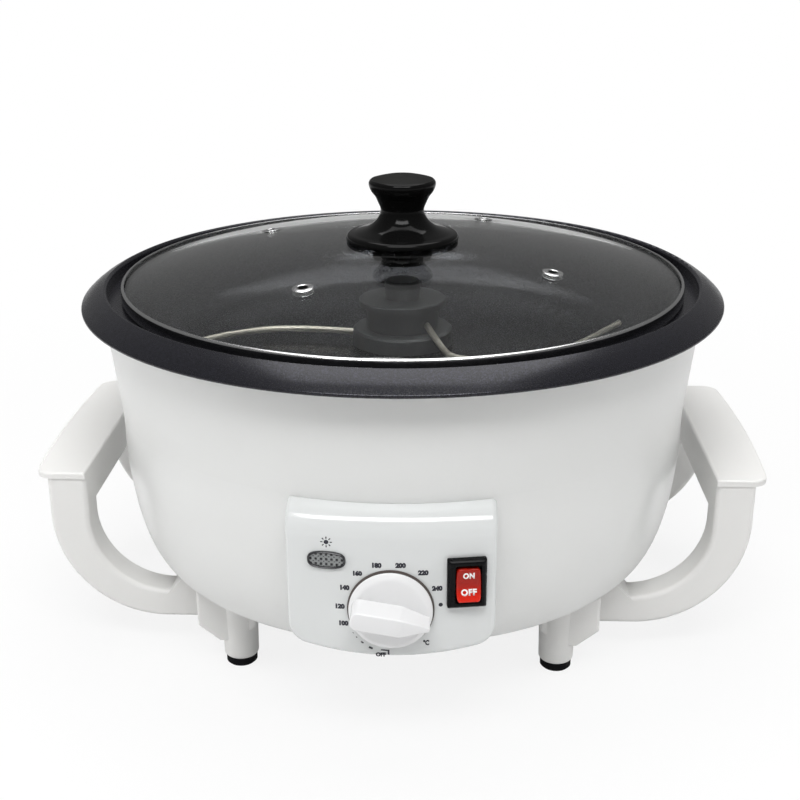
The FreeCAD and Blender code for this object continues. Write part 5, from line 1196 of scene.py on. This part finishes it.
class ROASTER_OT_switch(bpy.types.Operator):
    """Rocker switch with its bezel and letters"""
    bl_idname = "roaster.switch"
    bl_label = "Switch"

    def execute(self, context):
        black = black_moulding("bezel_black", (0.003, 0.003, 0.0035), 0.24, 700, 0.05, 0.1)
        piece("switch_bezel", bezel_mesh(), black, "base", "switch_black", "switch_body")
        red = rocker_red(context.scene.roaster_colours.rocker, middle("switch_body").z)
        piece("rocker_cap", rocker_solid(), red, "rocker", "rocker_red", "switch_rocker")
        letters = switch_letters(context.scene.roaster_sizes.letter_height / MM)
        piece("rocker_letters", letters, ink("letter_white", (0.92, 0.91, 0.90)), "rocker", "dial_white")
        return {"FINISHED"}


class ROASTER_OT_indicator(bpy.types.Operator):
    """Indicator's frame and prism lens, and the lamp behind them"""
    bl_idname = "roaster.indicator"
    bl_label = "Indicator"

    def execute(self, context):
        dark = black_moulding("frame_dark", (0.03, 0.03, 0.033), 0.15, 700, 0.03)
        piece("indicator_frame", lens_frame(), dark, "base", "lens_clear", "indicator_lens")
        clear = lens_prisms((0.25, 0.26, 0.26), middle("indicator_lens"))
        piece("indicator_prisms", lens_pyramids(), clear, "base", "lens_clear", "indicator_lens")
        dress(unglazed("lamp_glass", (0.70, 0.35, 0.20)), "indicator_lamp")
        return {"FINISHED"}


class ROASTER_OT_supports(bpy.types.Operator):
    """Legs, their rubber pads and screws"""
    bl_idname = "roaster.supports"
    bl_label = "Legs"

    def execute(self, context):
        white = satin_moulding("leg_white", context.scene.roaster_colours.leg, 0.34)
        black = rubber("pad_rubber", (0.006, 0.006, 0.007))
        for end in ("front", "rear"):
            for side in ("left", "right"):
                dress(white, f"leg_{end}_{side}")
                dress(black, f"rubber_pad_{end}_{side}")
        dress(plain_steel("leg_screw_steel", BRIGHT_STEEL, 0.25), "leg_screws", "handle_screws")
        return {"FINISHED"}


class ROASTER_OT_handles(bpy.types.Operator):
    """Satin handles at both sides"""
    bl_idname = "roaster.handles"
    bl_label = "Handles"

    def execute(self, context):
        white = satin_moulding("handle_white", context.scene.roaster_colours.handle, 0.36)
        dress(white, "handle_left", "handle_right")
        return {"FINISHED"}


class ROASTER_OT_works(bpy.types.Operator):
    """Heater, reflector, motor and what holds them inside the bowl"""
    bl_idname = "roaster.works"
    bl_label = "Inner works"

    def execute(self, context):
        dress(zinc_plate("bracket_zinc", ZINC, 0.28), "motor_bridge", "gear_motor")
        dress(plain_steel("bright_aluminium", (0.72, 0.72, 0.73), 0.22), "heat_shield", "sensor_bulb")
        dress(plain_steel("heater_sheath", (0.20, 0.19, 0.18), 0.38), "heating_element")
        dress(plain_steel("tie_steel", ZINC, 0.26), "tie_rods", "tie_nuts", "bridge_screws", "motor_screws",
              "housing_screws")
        return {"FINISHED"}


class ROASTER_OT_inlet(bpy.types.Operator):
    """Cable gland with its nut, and the terminal block"""
    bl_idname = "roaster.inlet"
    bl_label = "Mains entry"

    def execute(self, context):
        nylon = black_moulding("gland_nylon", (0.018, 0.018, 0.018), 0.36, 1100, 0.2)
        dress(nylon, "cord_gland", "gland_nut")
        dress(unglazed("terminal_ceramic", CERAMIC), "terminal_block")
        return {"FINISHED"}


STEPS = (ROASTER_OT_stage, ROASTER_OT_bowl, ROASTER_OT_pan, ROASTER_OT_lid, ROASTER_OT_stirrer,
         ROASTER_OT_panel, ROASTER_OT_dial, ROASTER_OT_switch, ROASTER_OT_indicator, ROASTER_OT_supports,
         ROASTER_OT_handles, ROASTER_OT_works, ROASTER_OT_inlet)


class ROASTER_PT_panel(bpy.types.Panel):
    """Lists the roaster's steps and settings"""
    bl_idname = "ROASTER_PT_panel"
    bl_label = "Coffee roaster"
    bl_space_type = "VIEW_3D"
    bl_region_type = "UI"
    bl_category = "Roaster"

    def draw(self, context):
        layout = self.layout
        scene = context.scene
        for group in (scene.roaster_colours, scene.roaster_sizes, scene.roaster_stage):
            for name in group.bl_rna.properties.keys():
                if name not in ("rna_type", "name"):
                    layout.prop(group, name)
        for step in STEPS:
            layout.operator(step.bl_idname)


CLASSES = (RoasterColours, RoasterSizes, RoasterStage) + STEPS + (ROASTER_PT_panel,)


def register():
    for item in CLASSES:
        bpy.utils.register_class(item)
    bpy.types.Scene.roaster_colours = bpy.props.PointerProperty(type=RoasterColours)
    bpy.types.Scene.roaster_sizes = bpy.props.PointerProperty(type=RoasterSizes)
    bpy.types.Scene.roaster_stage = bpy.props.PointerProperty(type=RoasterStage)


def unregister():
    del bpy.types.Scene.roaster_stage
    del bpy.types.Scene.roaster_sizes
    del bpy.types.Scene.roaster_colours
    for item in reversed(CLASSES):
        bpy.utils.unregister_class(item)


def main():
    register()
    for step in STEPS:
        getattr(bpy.ops.roaster, step.bl_idname.split(".")[1])()


if __name__ == "__main__":
    main()
